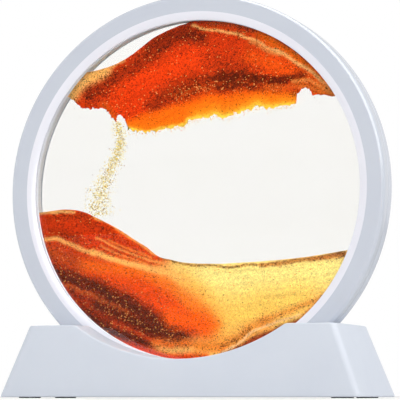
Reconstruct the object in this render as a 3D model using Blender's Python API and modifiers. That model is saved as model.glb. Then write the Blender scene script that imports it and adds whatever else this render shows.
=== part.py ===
"""Moving sand picture that turns in a slotted stand.

A glass cell holds clear liquid and coloured sand. Two plastic half rings close round the cell and
make a round frame, which stands on its rim in the slot of a hollow trapezoid stand and can be turned
there without end. Metres, +Z up. The origin is the middle of the underside, on the table, and the
picture faces -Y.
"""

import math

import bmesh
import bpy
from mathutils import Vector

# Fits: the gap between pieces that touch, and the play of the rim in the slot
FIT_GAP = 0.0003
SADDLE_CLEARANCE = 0.0003
SLOT_SIDE_CLEARANCE = 0.0010

# Round frame
RIM_RADIUS = 0.0900
FRAME_THICKNESS = 0.0160
RIM_FLAT_WIDTH = 0.0110
RIM_ROUNDING = 0.0016
RIM_WALL = 0.0057
FRAME_WIDTH = 0.0117
BEVEL_WIDTH = 0.0037
LIP_THICKNESS = 0.0008
TONGUE_THICKNESS = 0.0014
TONGUE_HEIGHT = 0.0016

# Glass cell
PANE_THICKNESS = 0.0020
PANE_EDGE_SEAM = 0.0003
CELL_DEPTH = 0.0050
SPACER_WIDTH = 0.0045
GASKET_THICKNESS = 0.0006
GASKET_WIDTH = 0.0045

# Filling port and its rubber plug
PORT_BORE_RADIUS = 0.0015
PLUG_HEAD_RADIUS = 0.0030
PLUG_HEAD_HEIGHT = 0.0045
PLUG_EDGE = 0.0003
PLUG_RECESS = 0.0004

# Stand
STAND_HEIGHT = 0.0330
STAND_BOTTOM_LENGTH = 0.1700
STAND_TOP_LENGTH = 0.1450
STAND_BOTTOM_DEPTH = 0.0660
STAND_TOP_DEPTH = 0.0560
STAND_WALL = 0.0020
STAND_CORNER_RADIUS = 0.0030
STAND_EDGE_RADIUS = 0.0008
ARC_RADIUS = 0.0870
ARC_LOWEST_HEIGHT = 0.0175
ARC_LIP_RADIUS = 0.0040
RIB_THICKNESS = 0.0016
RIB_SPACING = 0.0560

# Underside: cover plate, screws and feet
FOOT_PROUD = 0.0005
FOOT_RADIUS = 0.0050
FOOT_RECESS_DEPTH = 0.0008
FOOT_EDGE = 0.0003
FOOT_END_INSET = 0.0110
FOOT_SIDE_INSET = 0.0110
COVER_THICKNESS = 0.0020
COVER_RECESS = 0.0003
BOSS_RADIUS = 0.0036
BOSS_END_INSET = 0.0230
BOSS_SIDE_INSET = 0.0120
SCREW_SHANK_RADIUS = 0.0012
SCREW_SHANK_LENGTH = 0.0080
SCREW_HEAD_RADIUS = 0.0029
SCREW_HEAD_HEIGHT = 0.0009

# Falling stream of grains
TRICKLE_THICKNESS = 0.0020

# How clear the glass and the liquid are, from 0 to 1
CLEARNESS = 0.9

# Facets: round a full circle, along the stand's arc, and across each kind of rounding
RING_FACETS = 72
SADDLE_FACETS = 120
SMALL_FACETS = 16
ARC_FACETS = 28
ARC_LIP_FACETS = 3
RIM_ROUNDING_FACETS = 5
CORNER_FACETS = 3
EDGE_FACETS = 2

# Edges of the stand sharper than this, in degrees, are rounded
EDGE_ANGLE = 40.0

# The sand's lines: steps between two of their points, and degrees between points outside the cell
LINE_STEPS = 2
OUTSIDE_STEP_DEGREES = 20

# A moved outline's corners go at most this many times as far out as its sides
MITRE_LIMIT = 1.5

# The sand's outlines run round the outside of the cell at this share of the window's radius
OUTSIDE_SHARE = 1.15

# Cutters run this far past what they cut, and the plug's bore starts this far inside the pocket
OVERCUT = 0.0060
BORE_RUN_IN = 0.0010

# Heights and depths that follow from the sizes above
SHELL_BOTTOM = FOOT_PROUD
COVER_BOTTOM = SHELL_BOTTOM + COVER_RECESS
COVER_TOP = COVER_BOTTOM + COVER_THICKNESS
BOSS_BOTTOM = COVER_TOP + FIT_GAP
AXIS_HEIGHT = BOSS_BOTTOM + STAND_WALL + SADDLE_CLEARANCE + RIM_RADIUS
FOOT_SPACING_X = STAND_BOTTOM_LENGTH - 2 * FOOT_END_INSET
FOOT_SPACING_Y = STAND_BOTTOM_DEPTH - 2 * FOOT_SIDE_INSET
BOSS_SPACING_X = STAND_BOTTOM_LENGTH - 2 * BOSS_END_INSET
BOSS_SPACING_Y = STAND_BOTTOM_DEPTH - 2 * BOSS_SIDE_INSET
HALF_FRAME = FRAME_THICKNESS / 2
WINDOW_RADIUS = RIM_RADIUS - FRAME_WIDTH
POCKET_RADIUS = RIM_RADIUS - RIM_WALL
PANE_RADIUS = POCKET_RADIUS - FIT_GAP
HALF_CELL = CELL_DEPTH / 2
PANE_OUTER_FACE = HALF_CELL + PANE_THICKNESS
GASKET_INNER_FACE = PANE_OUTER_FACE + FIT_GAP
LIP_UNDERSIDE = GASKET_INNER_FACE + GASKET_THICKNESS + FIT_GAP
SPACER_INNER_RADIUS = PANE_RADIUS - SPACER_WIDTH
FILL_RADIUS = SPACER_INNER_RADIUS - FIT_GAP
FILL_HALF_DEPTH = HALF_CELL - FIT_GAP
SAND_RADIUS = FILL_RADIUS - 2 * FIT_GAP
HALF_SLOT = HALF_FRAME + SLOT_SIDE_CLEARANCE
TROUGH_RADIUS = RIM_RADIUS + SADDLE_CLEARANCE

# Lines of the sand picture, in metres about the disc's centre, x to the right and y up as seen from
# the front, as they lie in a window of this radius. Each runs clockwise round its sand and ends past
# the cell or on another line.
PICTURE_RADIUS = 0.0783
UPPER_CREST = [
    (-0.0740, 0.0500), (-0.0640, 0.0575), (-0.0562, 0.0570), (-0.0486, 0.0579), (-0.0406, 0.0602),
    (-0.0342, 0.0632), (-0.0282, 0.0672), (-0.0218, 0.0717), (-0.0154, 0.0747), (-0.0090, 0.0770),
]
GOLD_BAND_CORNER = [(-0.0041, 0.0779), (0.0060, 0.0840)]
GOLD_BAND_BOTTOM = [
    (-0.0060, 0.0775), (0.0013, 0.0748), (0.0086, 0.0743), (0.0198, 0.0702), (0.0280, 0.0669),
    (0.0356, 0.0630), (0.0442, 0.0580), (0.0523, 0.0532), (0.0590, 0.0480), (0.0680, 0.0428),
    (0.0765, 0.0400),
]
UPPER_EDGE_RIGHT = [
    (0.0760, 0.0378), (0.0678, 0.0405), (0.0598, 0.0422), (0.0551, 0.0423), (0.0532, 0.0456),
    (0.0504, 0.0453), (0.0480, 0.0426),
]
UPPER_EDGE_FRINGE = [
    (0.0475, 0.0385), (0.0461, 0.0376), (0.0408, 0.0378), (0.0356, 0.0366), (0.0289, 0.0382),
    (0.0260, 0.0365), (0.0149, 0.0341), (0.0130, 0.0327), (0.0086, 0.0343), (0.0013, 0.0331),
    (-0.0040, 0.0324), (-0.0060, 0.0298), (-0.0133, 0.0292), (-0.0197, 0.0282), (-0.0247, 0.0274),
    (-0.0306, 0.0286), (-0.0343, 0.0292),
]
UPPER_EDGE_LEFT = [
    (-0.0348, 0.0330), (-0.0376, 0.0364), (-0.0401, 0.0346), (-0.0396, 0.0327), (-0.0426, 0.0361),
    (-0.0451, 0.0390), (-0.0496, 0.0396), (-0.0571, 0.0399), (-0.0617, 0.0441),
]
FRINGE_TOP = [
    (-0.0345, 0.0312), (-0.0232, 0.0377), (-0.0153, 0.0412), (-0.0060, 0.0428), (0.0106, 0.0438),
    (0.0231, 0.0440), (0.0322, 0.0433), (0.0384, 0.0416), (0.0458, 0.0408),
]
DUNE_SURFACE_LEFT = [
    (-0.0860, -0.0100), (-0.0740, -0.0085), (-0.0650, -0.0078), (-0.0569, -0.0089),
    (-0.0509, -0.0114), (-0.0429, -0.0153), (-0.0369, -0.0187), (-0.0305, -0.0228),
    (-0.0246, -0.0264), (-0.0192, -0.0305), (-0.0133, -0.0322),
]
DUNE_SURFACE_RIGHT = [
    (-0.0065, -0.0337), (0.0013, -0.0343), (0.0134, -0.0345), (0.0321, -0.0336),
    (0.0501, -0.0323), (0.0618, -0.0307), (0.0860, -0.0270),
]
STREAK_TOP = [
    (-0.0133, -0.0322), (-0.0187, -0.0356), (-0.0280, -0.0340), (-0.0374, -0.0323),
    (-0.0468, -0.0303), (-0.0533, -0.0278), (-0.0624, -0.0248), (-0.0704, -0.0218),
    (-0.0860, -0.0205),
]
STREAK_BOTTOM = [
    (-0.0330, -0.0860), (-0.0230, -0.0729), (-0.0132, -0.0702), (0.0013, -0.0707),
    (0.0095, -0.0676), (0.0081, -0.0616), (-0.0011, -0.0537), (-0.0108, -0.0466),
    (-0.0231, -0.0404), (-0.0379, -0.0360), (-0.0528, -0.0316), (-0.0679, -0.0271),
    (-0.0860, -0.0225),
]
TRICKLE_LEFT = [
    (-0.0545, -0.0092), (-0.0545, -0.0045), (-0.0510, 0.0010), (-0.0470, 0.0060),
    (-0.0425, 0.0125), (-0.0395, 0.0170), (-0.0385, 0.0240), (-0.0393, 0.0319),
]
TRICKLE_RIGHT = [
    (-0.0356, 0.0328), (-0.0352, 0.0285), (-0.0352, 0.0240), (-0.0362, 0.0170), (-0.0385, 0.0100),
    (-0.0435, 0.0010), (-0.0415, -0.0040), (-0.0430, -0.0148),
]


def srgb(hex_colour):
    """Linear red, green, blue and alpha of an sRGB hex colour."""
    channels = [int(hex_colour[i:i + 2], 16) / 255 for i in (1, 3, 5)]
    linear = [c / 12.92 if c <= 0.04045 else ((c + 0.055) / 1.055) ** 2.4 for c in channels]
    return (*linear, 1.0)


def make_material(name, colour, roughness, transmission=0.0):
    """A Principled material of one colour."""
    material = bpy.data.materials.new(name)
    material.use_nodes = True
    shader = material.node_tree.nodes["Principled BSDF"]
    shader.inputs["Base Color"].default_value = srgb(colour)
    shader.inputs["Roughness"].default_value = roughness
    shader.inputs["Metallic"].default_value = 0.0
    shader.inputs["Transmission Weight"].default_value = transmission
    material.diffuse_color = srgb(colour)
    return material


def make_materials():
    """Every material of the object, by name."""
    return {
        "frame_plastic": make_material("frame_plastic", "#CDD2DC", 0.22),
        "stand_plastic": make_material("stand_plastic", "#D1D6E0", 0.30),
        "cover_plastic": make_material("cover_plastic", "#C6CBD6", 0.45),
        "clear_glass": make_material("clear_glass", "#F7FAF8", 0.03, CLEARNESS),
        "spacer_plastic": make_material("spacer_plastic", "#E8EAEE", 0.40),
        "gasket_rubber": make_material("gasket_rubber", "#D8DADF", 0.60),
        "plug_rubber": make_material("plug_rubber", "#DADCE0", 0.60),
        "clear_liquid": make_material("clear_liquid", "#F8F7F1", 0.02, CLEARNESS),
        "red_sand": make_material("red_sand", "#D8430F", 0.85),
        "gold_sand": make_material("gold_sand", "#FDB84E", 0.85),
        "amber_sand": make_material("amber_sand", "#FF7A08", 0.85),
        "dark_sand": make_material("dark_sand", "#8A3210", 0.85),
        "pale_sand": make_material("pale_sand", "#EBD67E", 0.85),
        "screw_steel": make_material("screw_steel", "#B9BCC1", 0.35),
        "foot_rubber": make_material("foot_rubber", "#E3E5E8", 0.70),
    }


def add_object(name, mesh, home, material=None, parent=None):
    """Makes an object of a mesh, puts it in a collection and gives it its material and parent."""
    item = bpy.data.objects.new(name, mesh)
    if material is not None:
        mesh.materials.clear()
        mesh.materials.append(material)
    item.parent = parent
    home.objects.link(item)
    return item


def as_cutter(item):
    """Marks an object as a cutter, which isn't part of the model."""
    item.hide_render = True
    item.display_type = "WIRE"
    return item


def mesh_from(bm, name):
    """Turns a bmesh into a mesh and frees it."""
    mesh = bpy.data.meshes.new(name)
    bm.to_mesh(mesh)
    bm.free()
    return mesh


def add_boolean(target, tool, operation="DIFFERENCE"):
    """Cuts or trims the target with another object."""
    modifier = target.modifiers.new(tool.name, "BOOLEAN")
    modifier.object = tool
    modifier.operation = operation
    modifier.solver = "EXACT"
    return modifier


def profile_mesh(name, points, closed):
    """A profile in the XZ plane, for the Screw modifier. Points are (radius, height)."""
    bm = bmesh.new()
    verts = [bm.verts.new((radius, 0.0, height)) for radius, height in points]
    for first, second in zip(verts, verts[1:]):
        bm.edges.new((first, second))
    if closed:
        bm.edges.new((verts[-1], verts[0]))
    return mesh_from(bm, name)


def add_turned(name, points, closed, facets, home, material=None, parent=None):
    """A turned piece: the profile screwed once round Z."""
    item = add_object(name, profile_mesh(name, points, closed), home, material, parent)
    screw = item.modifiers.new("turn", "SCREW")
    screw.axis = "Z"
    screw.angle = math.tau
    screw.steps = facets
    screw.render_steps = facets
    screw.use_merge_vertices = True
    screw.merge_threshold = 0.00001
    screw.use_smooth_shade = True
    screw.use_normal_calculate = False
    return item


def add_cylinder(name, radius, bottom, top, home, facets, material=None, parent=None):
    """An upright cylinder between two heights."""
    bm = bmesh.new()
    bmesh.ops.create_cone(
        bm, cap_ends=True, segments=facets, radius1=radius, radius2=radius, depth=top - bottom
    )
    bmesh.ops.translate(bm, verts=bm.verts, vec=(0.0, 0.0, (top + bottom) / 2))
    return add_object(name, mesh_from(bm, name), home, material, parent)


def add_frustum(name, half_bottom, half_top, bottom, top, corner, home, material=None):
    """A tapered box with rounded upright corners. Half sizes are (x, y)."""
    bm = bmesh.new()
    bmesh.ops.create_cube(bm, size=2.0)
    upright = []
    for vert in bm.verts:
        half = half_top if vert.co.z > 0 else half_bottom
        height = top if vert.co.z > 0 else bottom
        vert.co = Vector((vert.co.x * half[0], vert.co.y * half[1], height))
    for edge in bm.edges:
        if abs(edge.verts[0].co.z - edge.verts[1].co.z) > (top - bottom) / 2:
            upright.append(edge)
    if corner > 0:
        bmesh.ops.bevel(
            bm, geom=upright, offset=corner, segments=CORNER_FACETS, profile=0.5, affect="EDGES"
        )
    return add_object(name, mesh_from(bm, name), home, material)


def add_box(name, low, high, home):
    """A box between two corners, for cutting."""
    bm = bmesh.new()
    bmesh.ops.create_cube(bm, size=1.0)
    for vert in bm.verts:
        for axis in range(3):
            vert.co[axis] = high[axis] if vert.co[axis] > 0 else low[axis]
    return add_object(name, mesh_from(bm, name), home)


def fitted(points):
    """Points of the sand picture, scaled from the window they are drawn for to the real one."""
    scale = WINDOW_RADIUS / PICTURE_RADIUS
    return [(x * scale, y * scale) for x, y in points]


def outline_mesh(name, points, half_thickness):
    """A closed flat outline as a solid plate lying in the XY plane."""
    curve = bpy.data.curves.new(name, "CURVE")
    curve.dimensions = "2D"
    curve.fill_mode = "BOTH"
    curve.extrude = half_thickness
    spline = curve.splines.new("POLY")
    spline.points.add(len(points) - 1)
    for point, (x, y) in zip(spline.points, points):
        point.co = (x, y, 0.0, 1.0)
    spline.use_cyclic_u = True
    shape = bpy.data.objects.new(name + "_outline", curve)
    bpy.context.scene.collection.objects.link(shape)
    graph = bpy.context.evaluated_depsgraph_get()
    mesh = bpy.data.meshes.new_from_object(shape.evaluated_get(graph))
    bpy.data.objects.remove(shape)
    bpy.data.curves.remove(curve)
    bm = bmesh.new()
    bm.from_mesh(mesh)
    bmesh.ops.remove_doubles(bm, verts=bm.verts, dist=0.00001)
    bmesh.ops.recalc_face_normals(bm, faces=bm.faces)
    bm.to_mesh(mesh)
    bm.free()
    mesh.name = name
    return mesh


def smoothed(points, steps):
    """A Catmull-Rom curve through the points, with the given steps between two of them."""
    path = []
    last = len(points) - 1
    for i in range(last):
        before, start = points[max(i - 1, 0)], points[i]
        end, after = points[i + 1], points[min(i + 2, last)]
        for k in range(steps):
            t = k / steps
            path.append(tuple(
                0.5 * (2 * s + (e - b) * t + (2 * b - 5 * s + 4 * e - a) * t * t
                       + (3 * s - 3 * e + a - b) * t ** 3)
                for b, s, e, a in zip(before, start, end, after)
            ))
    path.append(points[-1])
    return path


def grown(points, distance):
    """The closed outline moved outwards, or inwards for a negative distance."""
    count = len(points)
    area = sum(
        points[i][0] * points[(i + 1) % count][1] - points[(i + 1) % count][0] * points[i][1]
        for i in range(count)
    )
    side = 1.0 if area > 0 else -1.0
    moved = []
    for i in range(count):
        before = Vector(points[i - 1])
        here = Vector(points[i])
        after = Vector(points[(i + 1) % count])
        first = (here - before).normalized()
        second = (after - here).normalized()
        along = (first + second).normalized()
        outwards = Vector((along.y, -along.x)) * side
        stretch = 1.0 / max(abs(first.dot(along)), 1.0 / MITRE_LIMIT)
        moved.append(tuple(here + outwards * distance * stretch))
    return moved


def round_outside(start, end):
    """Points that lead clockwise past the cell's rim, from beside one point to beside another."""
    first = math.atan2(start[1], start[0])
    sweep = (first - math.atan2(end[1], end[0])) % math.tau
    steps = math.ceil(sweep / math.radians(OUTSIDE_STEP_DEGREES))
    angles = [first - sweep * step / steps for step in range(1, steps)]
    radius = PICTURE_RADIUS * OUTSIDE_SHARE
    return [(radius * math.cos(angle), radius * math.sin(angle)) for angle in angles]


def rounded_rim():
    """Section points (radius, depth) of the frame's rounded outer edge, from its face to its rim."""
    centre_radius = RIM_RADIUS - RIM_ROUNDING
    flat = RIM_FLAT_WIDTH / 2
    points = []
    for step in range(RIM_ROUNDING_FACETS + 1):
        angle = math.pi / 2 * (1 - step / RIM_ROUNDING_FACETS)
        points.append((
            centre_radius + RIM_ROUNDING * math.cos(angle),
            flat + (HALF_FRAME - flat) * math.sin(angle),
        ))
    return points


def bezel_section(has_tongue):
    """Closed section (radius, depth) of one half of the frame, clockwise from its inner lip."""
    seam = FIT_GAP / 2
    middle = (POCKET_RADIUS + RIM_RADIUS) / 2
    if has_tongue:
        half_width = TONGUE_THICKNESS / 2
        reach = seam - TONGUE_HEIGHT
    else:
        half_width = TONGUE_THICKNESS / 2 + FIT_GAP
        reach = seam + TONGUE_HEIGHT
    section = [
        (WINDOW_RADIUS, LIP_UNDERSIDE),
        (WINDOW_RADIUS, LIP_UNDERSIDE + LIP_THICKNESS),
        (WINDOW_RADIUS + BEVEL_WIDTH, HALF_FRAME),
    ]
    section += rounded_rim()
    section += [
        (RIM_RADIUS, seam),
        (middle + half_width, seam),
        (middle + half_width, reach),
        (middle - half_width, reach),
        (middle - half_width, seam),
        (POCKET_RADIUS, seam),
        (POCKET_RADIUS, LIP_UNDERSIDE),
    ]
    return section


def ring_section(inner, outer, low, high):
    """Closed rectangular section of a flat ring."""
    return [(inner, high), (outer, high), (outer, low), (inner, low)]


def pane_profile(low, high):
    """Open profile of a pane with seamed edges, from the middle of its top to that of its bottom."""
    edge = PANE_EDGE_SEAM
    return [
        (0.0, high),
        (PANE_RADIUS - edge, high),
        (PANE_RADIUS, high - edge),
        (PANE_RADIUS, low + edge),
        (PANE_RADIUS - edge, low),
        (0.0, low),
    ]


def make_disc_axis(parts):
    """The empty on the axis that the disc turns about: its Z points out of the picture's front."""
    axis = bpy.data.objects.new("disc_axis", None)
    axis.location = (0.0, 0.0, AXIS_HEIGHT)
    axis.rotation_euler = (math.pi / 2, 0.0, 0.0)
    axis.empty_display_size = RIM_RADIUS
    parts.objects.link(axis)
    return axis


def add_port_cutter(name, radius, inner, outer, cutters, axis):
    """A radial cylinder that points down from the disc's centre, for the filling port."""
    cutter = add_cylinder(name, radius, inner, outer, cutters, SMALL_FACETS, parent=axis)
    cutter.rotation_euler = (math.pi / 2, 0.0, 0.0)
    return as_cutter(cutter)


def build_frame(parts, cutters, axis, materials):
    """The two half rings of the round frame."""
    head_bore = add_port_cutter(
        "plug_head_bore", PLUG_HEAD_RADIUS + FIT_GAP, POCKET_RADIUS - BORE_RUN_IN,
        RIM_RADIUS + OVERCUT, cutters, axis,
    )
    for name, has_tongue, turn in (("front_bezel", True, 0.0), ("rear_bezel", False, math.pi)):
        bezel = add_turned(
            name, bezel_section(has_tongue), True, RING_FACETS, parts,
            materials["frame_plastic"], axis,
        )
        bezel.rotation_euler = (0.0, turn, 0.0)
        add_boolean(bezel, head_bore)


def build_cell(parts, cutters, axis, materials):
    """The panes, the ring between them, the gaskets over them and the filling plug."""
    for name, turn in (("front_glass", 0.0), ("rear_glass", math.pi)):
        pane = add_turned(
            name, pane_profile(HALF_CELL, PANE_OUTER_FACE), False, RING_FACETS, parts,
            materials["clear_glass"], axis,
        )
        pane.rotation_euler = (0.0, turn, 0.0)
    gasket_inner = PANE_RADIUS - GASKET_WIDTH
    for name, turn in (("front_gasket", 0.0), ("rear_gasket", math.pi)):
        gasket = add_turned(
            name,
            ring_section(
                gasket_inner, PANE_RADIUS, GASKET_INNER_FACE, GASKET_INNER_FACE + GASKET_THICKNESS
            ),
            True, RING_FACETS, parts, materials["gasket_rubber"], axis,
        )
        gasket.rotation_euler = (0.0, turn, 0.0)
    spacer = add_turned(
        "spacer_ring",
        ring_section(SPACER_INNER_RADIUS, PANE_RADIUS, -FILL_HALF_DEPTH, FILL_HALF_DEPTH),
        True, RING_FACETS, parts, materials["spacer_plastic"], axis,
    )
    stem_bore = add_port_cutter(
        "plug_stem_bore", PORT_BORE_RADIUS, SPACER_INNER_RADIUS - OVERCUT, PANE_RADIUS + OVERCUT,
        cutters, axis,
    )
    add_boolean(spacer, stem_bore)
    head_top = RIM_RADIUS - PLUG_RECESS
    head_bottom = head_top - PLUG_HEAD_HEIGHT
    stem_radius = PORT_BORE_RADIUS - FIT_GAP
    plug = add_turned(
        "filler_plug",
        [
            (0.0, head_top),
            (PLUG_HEAD_RADIUS - PLUG_EDGE, head_top),
            (PLUG_HEAD_RADIUS, head_top - PLUG_EDGE),
            (PLUG_HEAD_RADIUS, head_bottom),
            (stem_radius, head_bottom),
            (stem_radius, SPACER_INNER_RADIUS),
            (0.0, SPACER_INNER_RADIUS),
        ],
        False, SMALL_FACETS, parts, materials["plug_rubber"], axis,
    )
    plug.rotation_euler = (math.pi / 2, 0.0, 0.0)


def sand_outlines():
    """The closed outline of each layer of sand, by node name."""
    crest = smoothed(UPPER_CREST, LINE_STEPS)
    band_bottom = smoothed(GOLD_BAND_BOTTOM, LINE_STEPS)
    fringe_top = smoothed(FRINGE_TOP, LINE_STEPS)
    dune_left = smoothed(DUNE_SURFACE_LEFT, LINE_STEPS)
    dune_right = smoothed(DUNE_SURFACE_RIGHT, LINE_STEPS)
    streak_top = smoothed(STREAK_TOP, LINE_STEPS)
    streak_bottom = smoothed(STREAK_BOTTOM, LINE_STEPS)
    band_edge = GOLD_BAND_CORNER + round_outside(GOLD_BAND_CORNER[-1], band_bottom[-1])
    return {
        "upper_sand_red": (
            crest + band_bottom + UPPER_EDGE_RIGHT + fringe_top[::-1] + UPPER_EDGE_LEFT
        ),
        "upper_sand_gold": band_edge + band_bottom[::-1],
        "upper_sand_amber": UPPER_EDGE_FRINGE + fringe_top,
        "dune_red": dune_left + streak_top[1:],
        "dune_gold": (
            streak_top[::-1] + dune_right + round_outside(dune_right[-1], streak_bottom[0])
            + streak_bottom
        ),
        "dune_dark": (
            streak_bottom[::-1][:-1] + round_outside(streak_bottom[0], streak_bottom[-1])
        ),
    }


def whole_masses():
    """The outlines of the two whole masses of sand, which the liquid flows round."""
    upper = (
        smoothed(UPPER_CREST, LINE_STEPS) + GOLD_BAND_BOTTOM[:1] + GOLD_BAND_CORNER
        + round_outside(GOLD_BAND_CORNER[-1], UPPER_EDGE_RIGHT[0]) + UPPER_EDGE_RIGHT
        + FRINGE_TOP[-1:] + UPPER_EDGE_FRINGE + FRINGE_TOP[:1] + UPPER_EDGE_LEFT
    )
    surface = smoothed(DUNE_SURFACE_LEFT, LINE_STEPS) + smoothed(DUNE_SURFACE_RIGHT, LINE_STEPS)
    lower = surface + round_outside(surface[-1], surface[0])
    return {"upper_mass": upper, "lower_mass": lower}


def build_sand(parts, cutters, axis, materials):
    """The layers of sand and the falling stream, trimmed to the cell."""
    slots = {
        "upper_sand_red": "red_sand",
        "upper_sand_gold": "gold_sand",
        "upper_sand_amber": "amber_sand",
        "dune_red": "red_sand",
        "dune_gold": "gold_sand",
        "dune_dark": "dark_sand",
    }
    cell = as_cutter(add_cylinder(
        "cell_trim", SAND_RADIUS, -FILL_HALF_DEPTH, FILL_HALF_DEPTH, cutters, RING_FACETS, parent=axis
    ))
    for name, outline in sand_outlines().items():
        layer = add_object(
            name, outline_mesh(name, grown(fitted(outline), -FIT_GAP / 2), HALF_CELL + OVERCUT),
            parts, materials[slots[name]], axis,
        )
        add_boolean(layer, cell, "INTERSECT")
    trickle = fitted(smoothed(TRICKLE_LEFT, LINE_STEPS) + smoothed(TRICKLE_RIGHT, LINE_STEPS))
    add_object(
        "sand_trickle", outline_mesh("sand_trickle", trickle, TRICKLE_THICKNESS / 2), parts,
        materials["pale_sand"], axis,
    )


def build_liquid(parts, cutters, axis, materials):
    """The liquid: the cell's space less the sand."""
    liquid = add_cylinder(
        "liquid_fill", FILL_RADIUS, -FILL_HALF_DEPTH, FILL_HALF_DEPTH, parts, RING_FACETS,
        materials["clear_liquid"], axis,
    )
    reach = HALF_CELL + OVERCUT
    sand_space = as_cutter(add_cylinder(
        "sand_space", SAND_RADIUS + FIT_GAP, -reach, reach, cutters, RING_FACETS, parent=axis
    ))
    for name, outline in whole_masses().items():
        mass = add_object(
            name, outline_mesh(name, grown(fitted(outline), FIT_GAP), reach + OVERCUT), cutters,
            parent=axis,
        )
        add_boolean(mass, sand_space, "INTERSECT")
        add_boolean(liquid, as_cutter(mass))
    trickle = fitted(smoothed(TRICKLE_LEFT, LINE_STEPS) + smoothed(TRICKLE_RIGHT, LINE_STEPS))
    stream = add_object(
        "stream_space",
        outline_mesh("stream_space", grown(trickle, FIT_GAP), TRICKLE_THICKNESS / 2 + FIT_GAP),
        cutters, parent=axis,
    )
    add_boolean(liquid, as_cutter(stream))


def stand_half_sizes(height, inset):
    """Half length and half depth of the stand at a height, for a skin that lies inset inwards."""
    share = (height - SHELL_BOTTOM) / (STAND_HEIGHT - SHELL_BOTTOM)
    halves = []
    for bottom, top in (
        (STAND_BOTTOM_LENGTH / 2, STAND_TOP_LENGTH / 2),
        (STAND_BOTTOM_DEPTH / 2, STAND_TOP_DEPTH / 2),
    ):
        slope = (bottom - top) / (STAND_HEIGHT - SHELL_BOTTOM)
        halves.append(bottom + (top - bottom) * share - inset * math.sqrt(1 + slope * slope))
    return tuple(halves)


def arc_outline(inset):
    """Outline (x, z) of the arc cut through the stand, or of its skin that lies inset below it."""
    centre = ARC_LOWEST_HEIGHT + ARC_RADIUS
    radius = ARC_RADIUS + inset
    lip = ARC_LIP_RADIUS - inset
    top = STAND_HEIGHT - inset
    lip_x = math.sqrt((radius + lip) ** 2 - (centre - (top - lip)) ** 2)
    lip_angle = math.asin(lip_x / (radius + lip))
    right = []
    for step in range(ARC_FACETS // 2 + 1):
        angle = lip_angle * step / (ARC_FACETS // 2)
        right.append((radius * math.sin(angle), centre - radius * math.cos(angle)))
    for step in range(1, ARC_LIP_FACETS + 1):
        angle = lip_angle * (1 - step / ARC_LIP_FACETS)
        right.append((lip_x - lip * math.sin(angle), top - lip + lip * math.cos(angle)))
    right.append((lip_x, STAND_HEIGHT + OVERCUT))
    left = [(-x, z) for x, z in right[:0:-1]]
    return left + right


def add_arc_cutter(name, inset, cutters):
    """The arc's cutter, through the whole depth of the stand."""
    mesh = outline_mesh(name, arc_outline(inset), STAND_BOTTOM_DEPTH / 2 + OVERCUT)
    cutter = add_object(name, mesh, cutters)
    cutter.rotation_euler = (math.pi / 2, 0.0, 0.0)
    return as_cutter(cutter)


def add_trough_cutter(name, inset, cutters):
    """The slot's cutter: a disc like the frame's rim, with the slot's clearances."""
    half = HALF_SLOT + inset
    cutter = add_cylinder(name, TROUGH_RADIUS + inset, -half, half, cutters, SADDLE_FACETS)
    cutter.location = (0.0, 0.0, AXIS_HEIGHT)
    cutter.rotation_euler = (math.pi / 2, 0.0, 0.0)
    return as_cutter(cutter)


def corners(spacing_x, spacing_y):
    """The four corners of a rectangle about the origin."""
    return [(sx * spacing_x / 2, sy * spacing_y / 2) for sx in (-1, 1) for sy in (-1, 1)]


def add_core(cutters):
    """The hollow inside the stand: what the moulding leaves open under its skin, ribs and bosses."""
    top = STAND_HEIGHT - STAND_WALL
    bottom = SHELL_BOTTOM - OVERCUT
    core = add_frustum(
        "stand_core", stand_half_sizes(bottom, STAND_WALL), stand_half_sizes(top, STAND_WALL),
        bottom, top, STAND_CORNER_RADIUS - STAND_WALL, cutters,
    )
    add_boolean(core, add_arc_cutter("arc_skin", STAND_WALL, cutters))
    add_boolean(core, add_trough_cutter("trough_skin", STAND_WALL, cutters))
    reach = STAND_BOTTOM_DEPTH
    for index, side in enumerate((-1, 1)):
        middle = side * RIB_SPACING / 2
        rib = add_box(
            f"rib_space_{index + 1}",
            (middle - RIB_THICKNESS / 2, -reach, BOSS_BOTTOM),
            (middle + RIB_THICKNESS / 2, reach, STAND_HEIGHT + OVERCUT),
            cutters,
        )
        add_boolean(core, as_cutter(rib))
    for index, (x, y) in enumerate(corners(BOSS_SPACING_X, BOSS_SPACING_Y)):
        boss = add_cylinder(
            f"boss_space_{index + 1}", BOSS_RADIUS, BOSS_BOTTOM, STAND_HEIGHT + OVERCUT, cutters,
            SMALL_FACETS,
        )
        pilot = add_cylinder(
            f"pilot_hole_{index + 1}", SCREW_SHANK_RADIUS + FIT_GAP, BOSS_BOTTOM - OVERCUT,
            BOSS_BOTTOM + SCREW_SHANK_LENGTH + FIT_GAP, cutters, SMALL_FACETS,
        )
        for item in (boss, pilot):
            item.location = (x, y, 0.0)
        add_boolean(boss, as_cutter(pilot))
        add_boolean(core, as_cutter(boss))
    return as_cutter(core)


def build_stand(parts, cutters, materials):
    """The hollow moulded stand with its slot, arc, ribs and screw bosses."""
    shell = add_frustum(
        "stand_shell", stand_half_sizes(SHELL_BOTTOM, 0.0), stand_half_sizes(STAND_HEIGHT, 0.0),
        SHELL_BOTTOM, STAND_HEIGHT, STAND_CORNER_RADIUS, parts, materials["stand_plastic"],
    )
    add_boolean(shell, add_arc_cutter("arc_cut", 0.0, cutters))
    add_boolean(shell, add_trough_cutter("slot_cut", 0.0, cutters))
    edges = shell.modifiers.new("edge_rounding", "BEVEL")
    edges.width = STAND_EDGE_RADIUS
    edges.segments = EDGE_FACETS
    edges.limit_method = "ANGLE"
    edges.angle_limit = math.radians(EDGE_ANGLE)
    add_boolean(shell, add_core(cutters))


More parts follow.
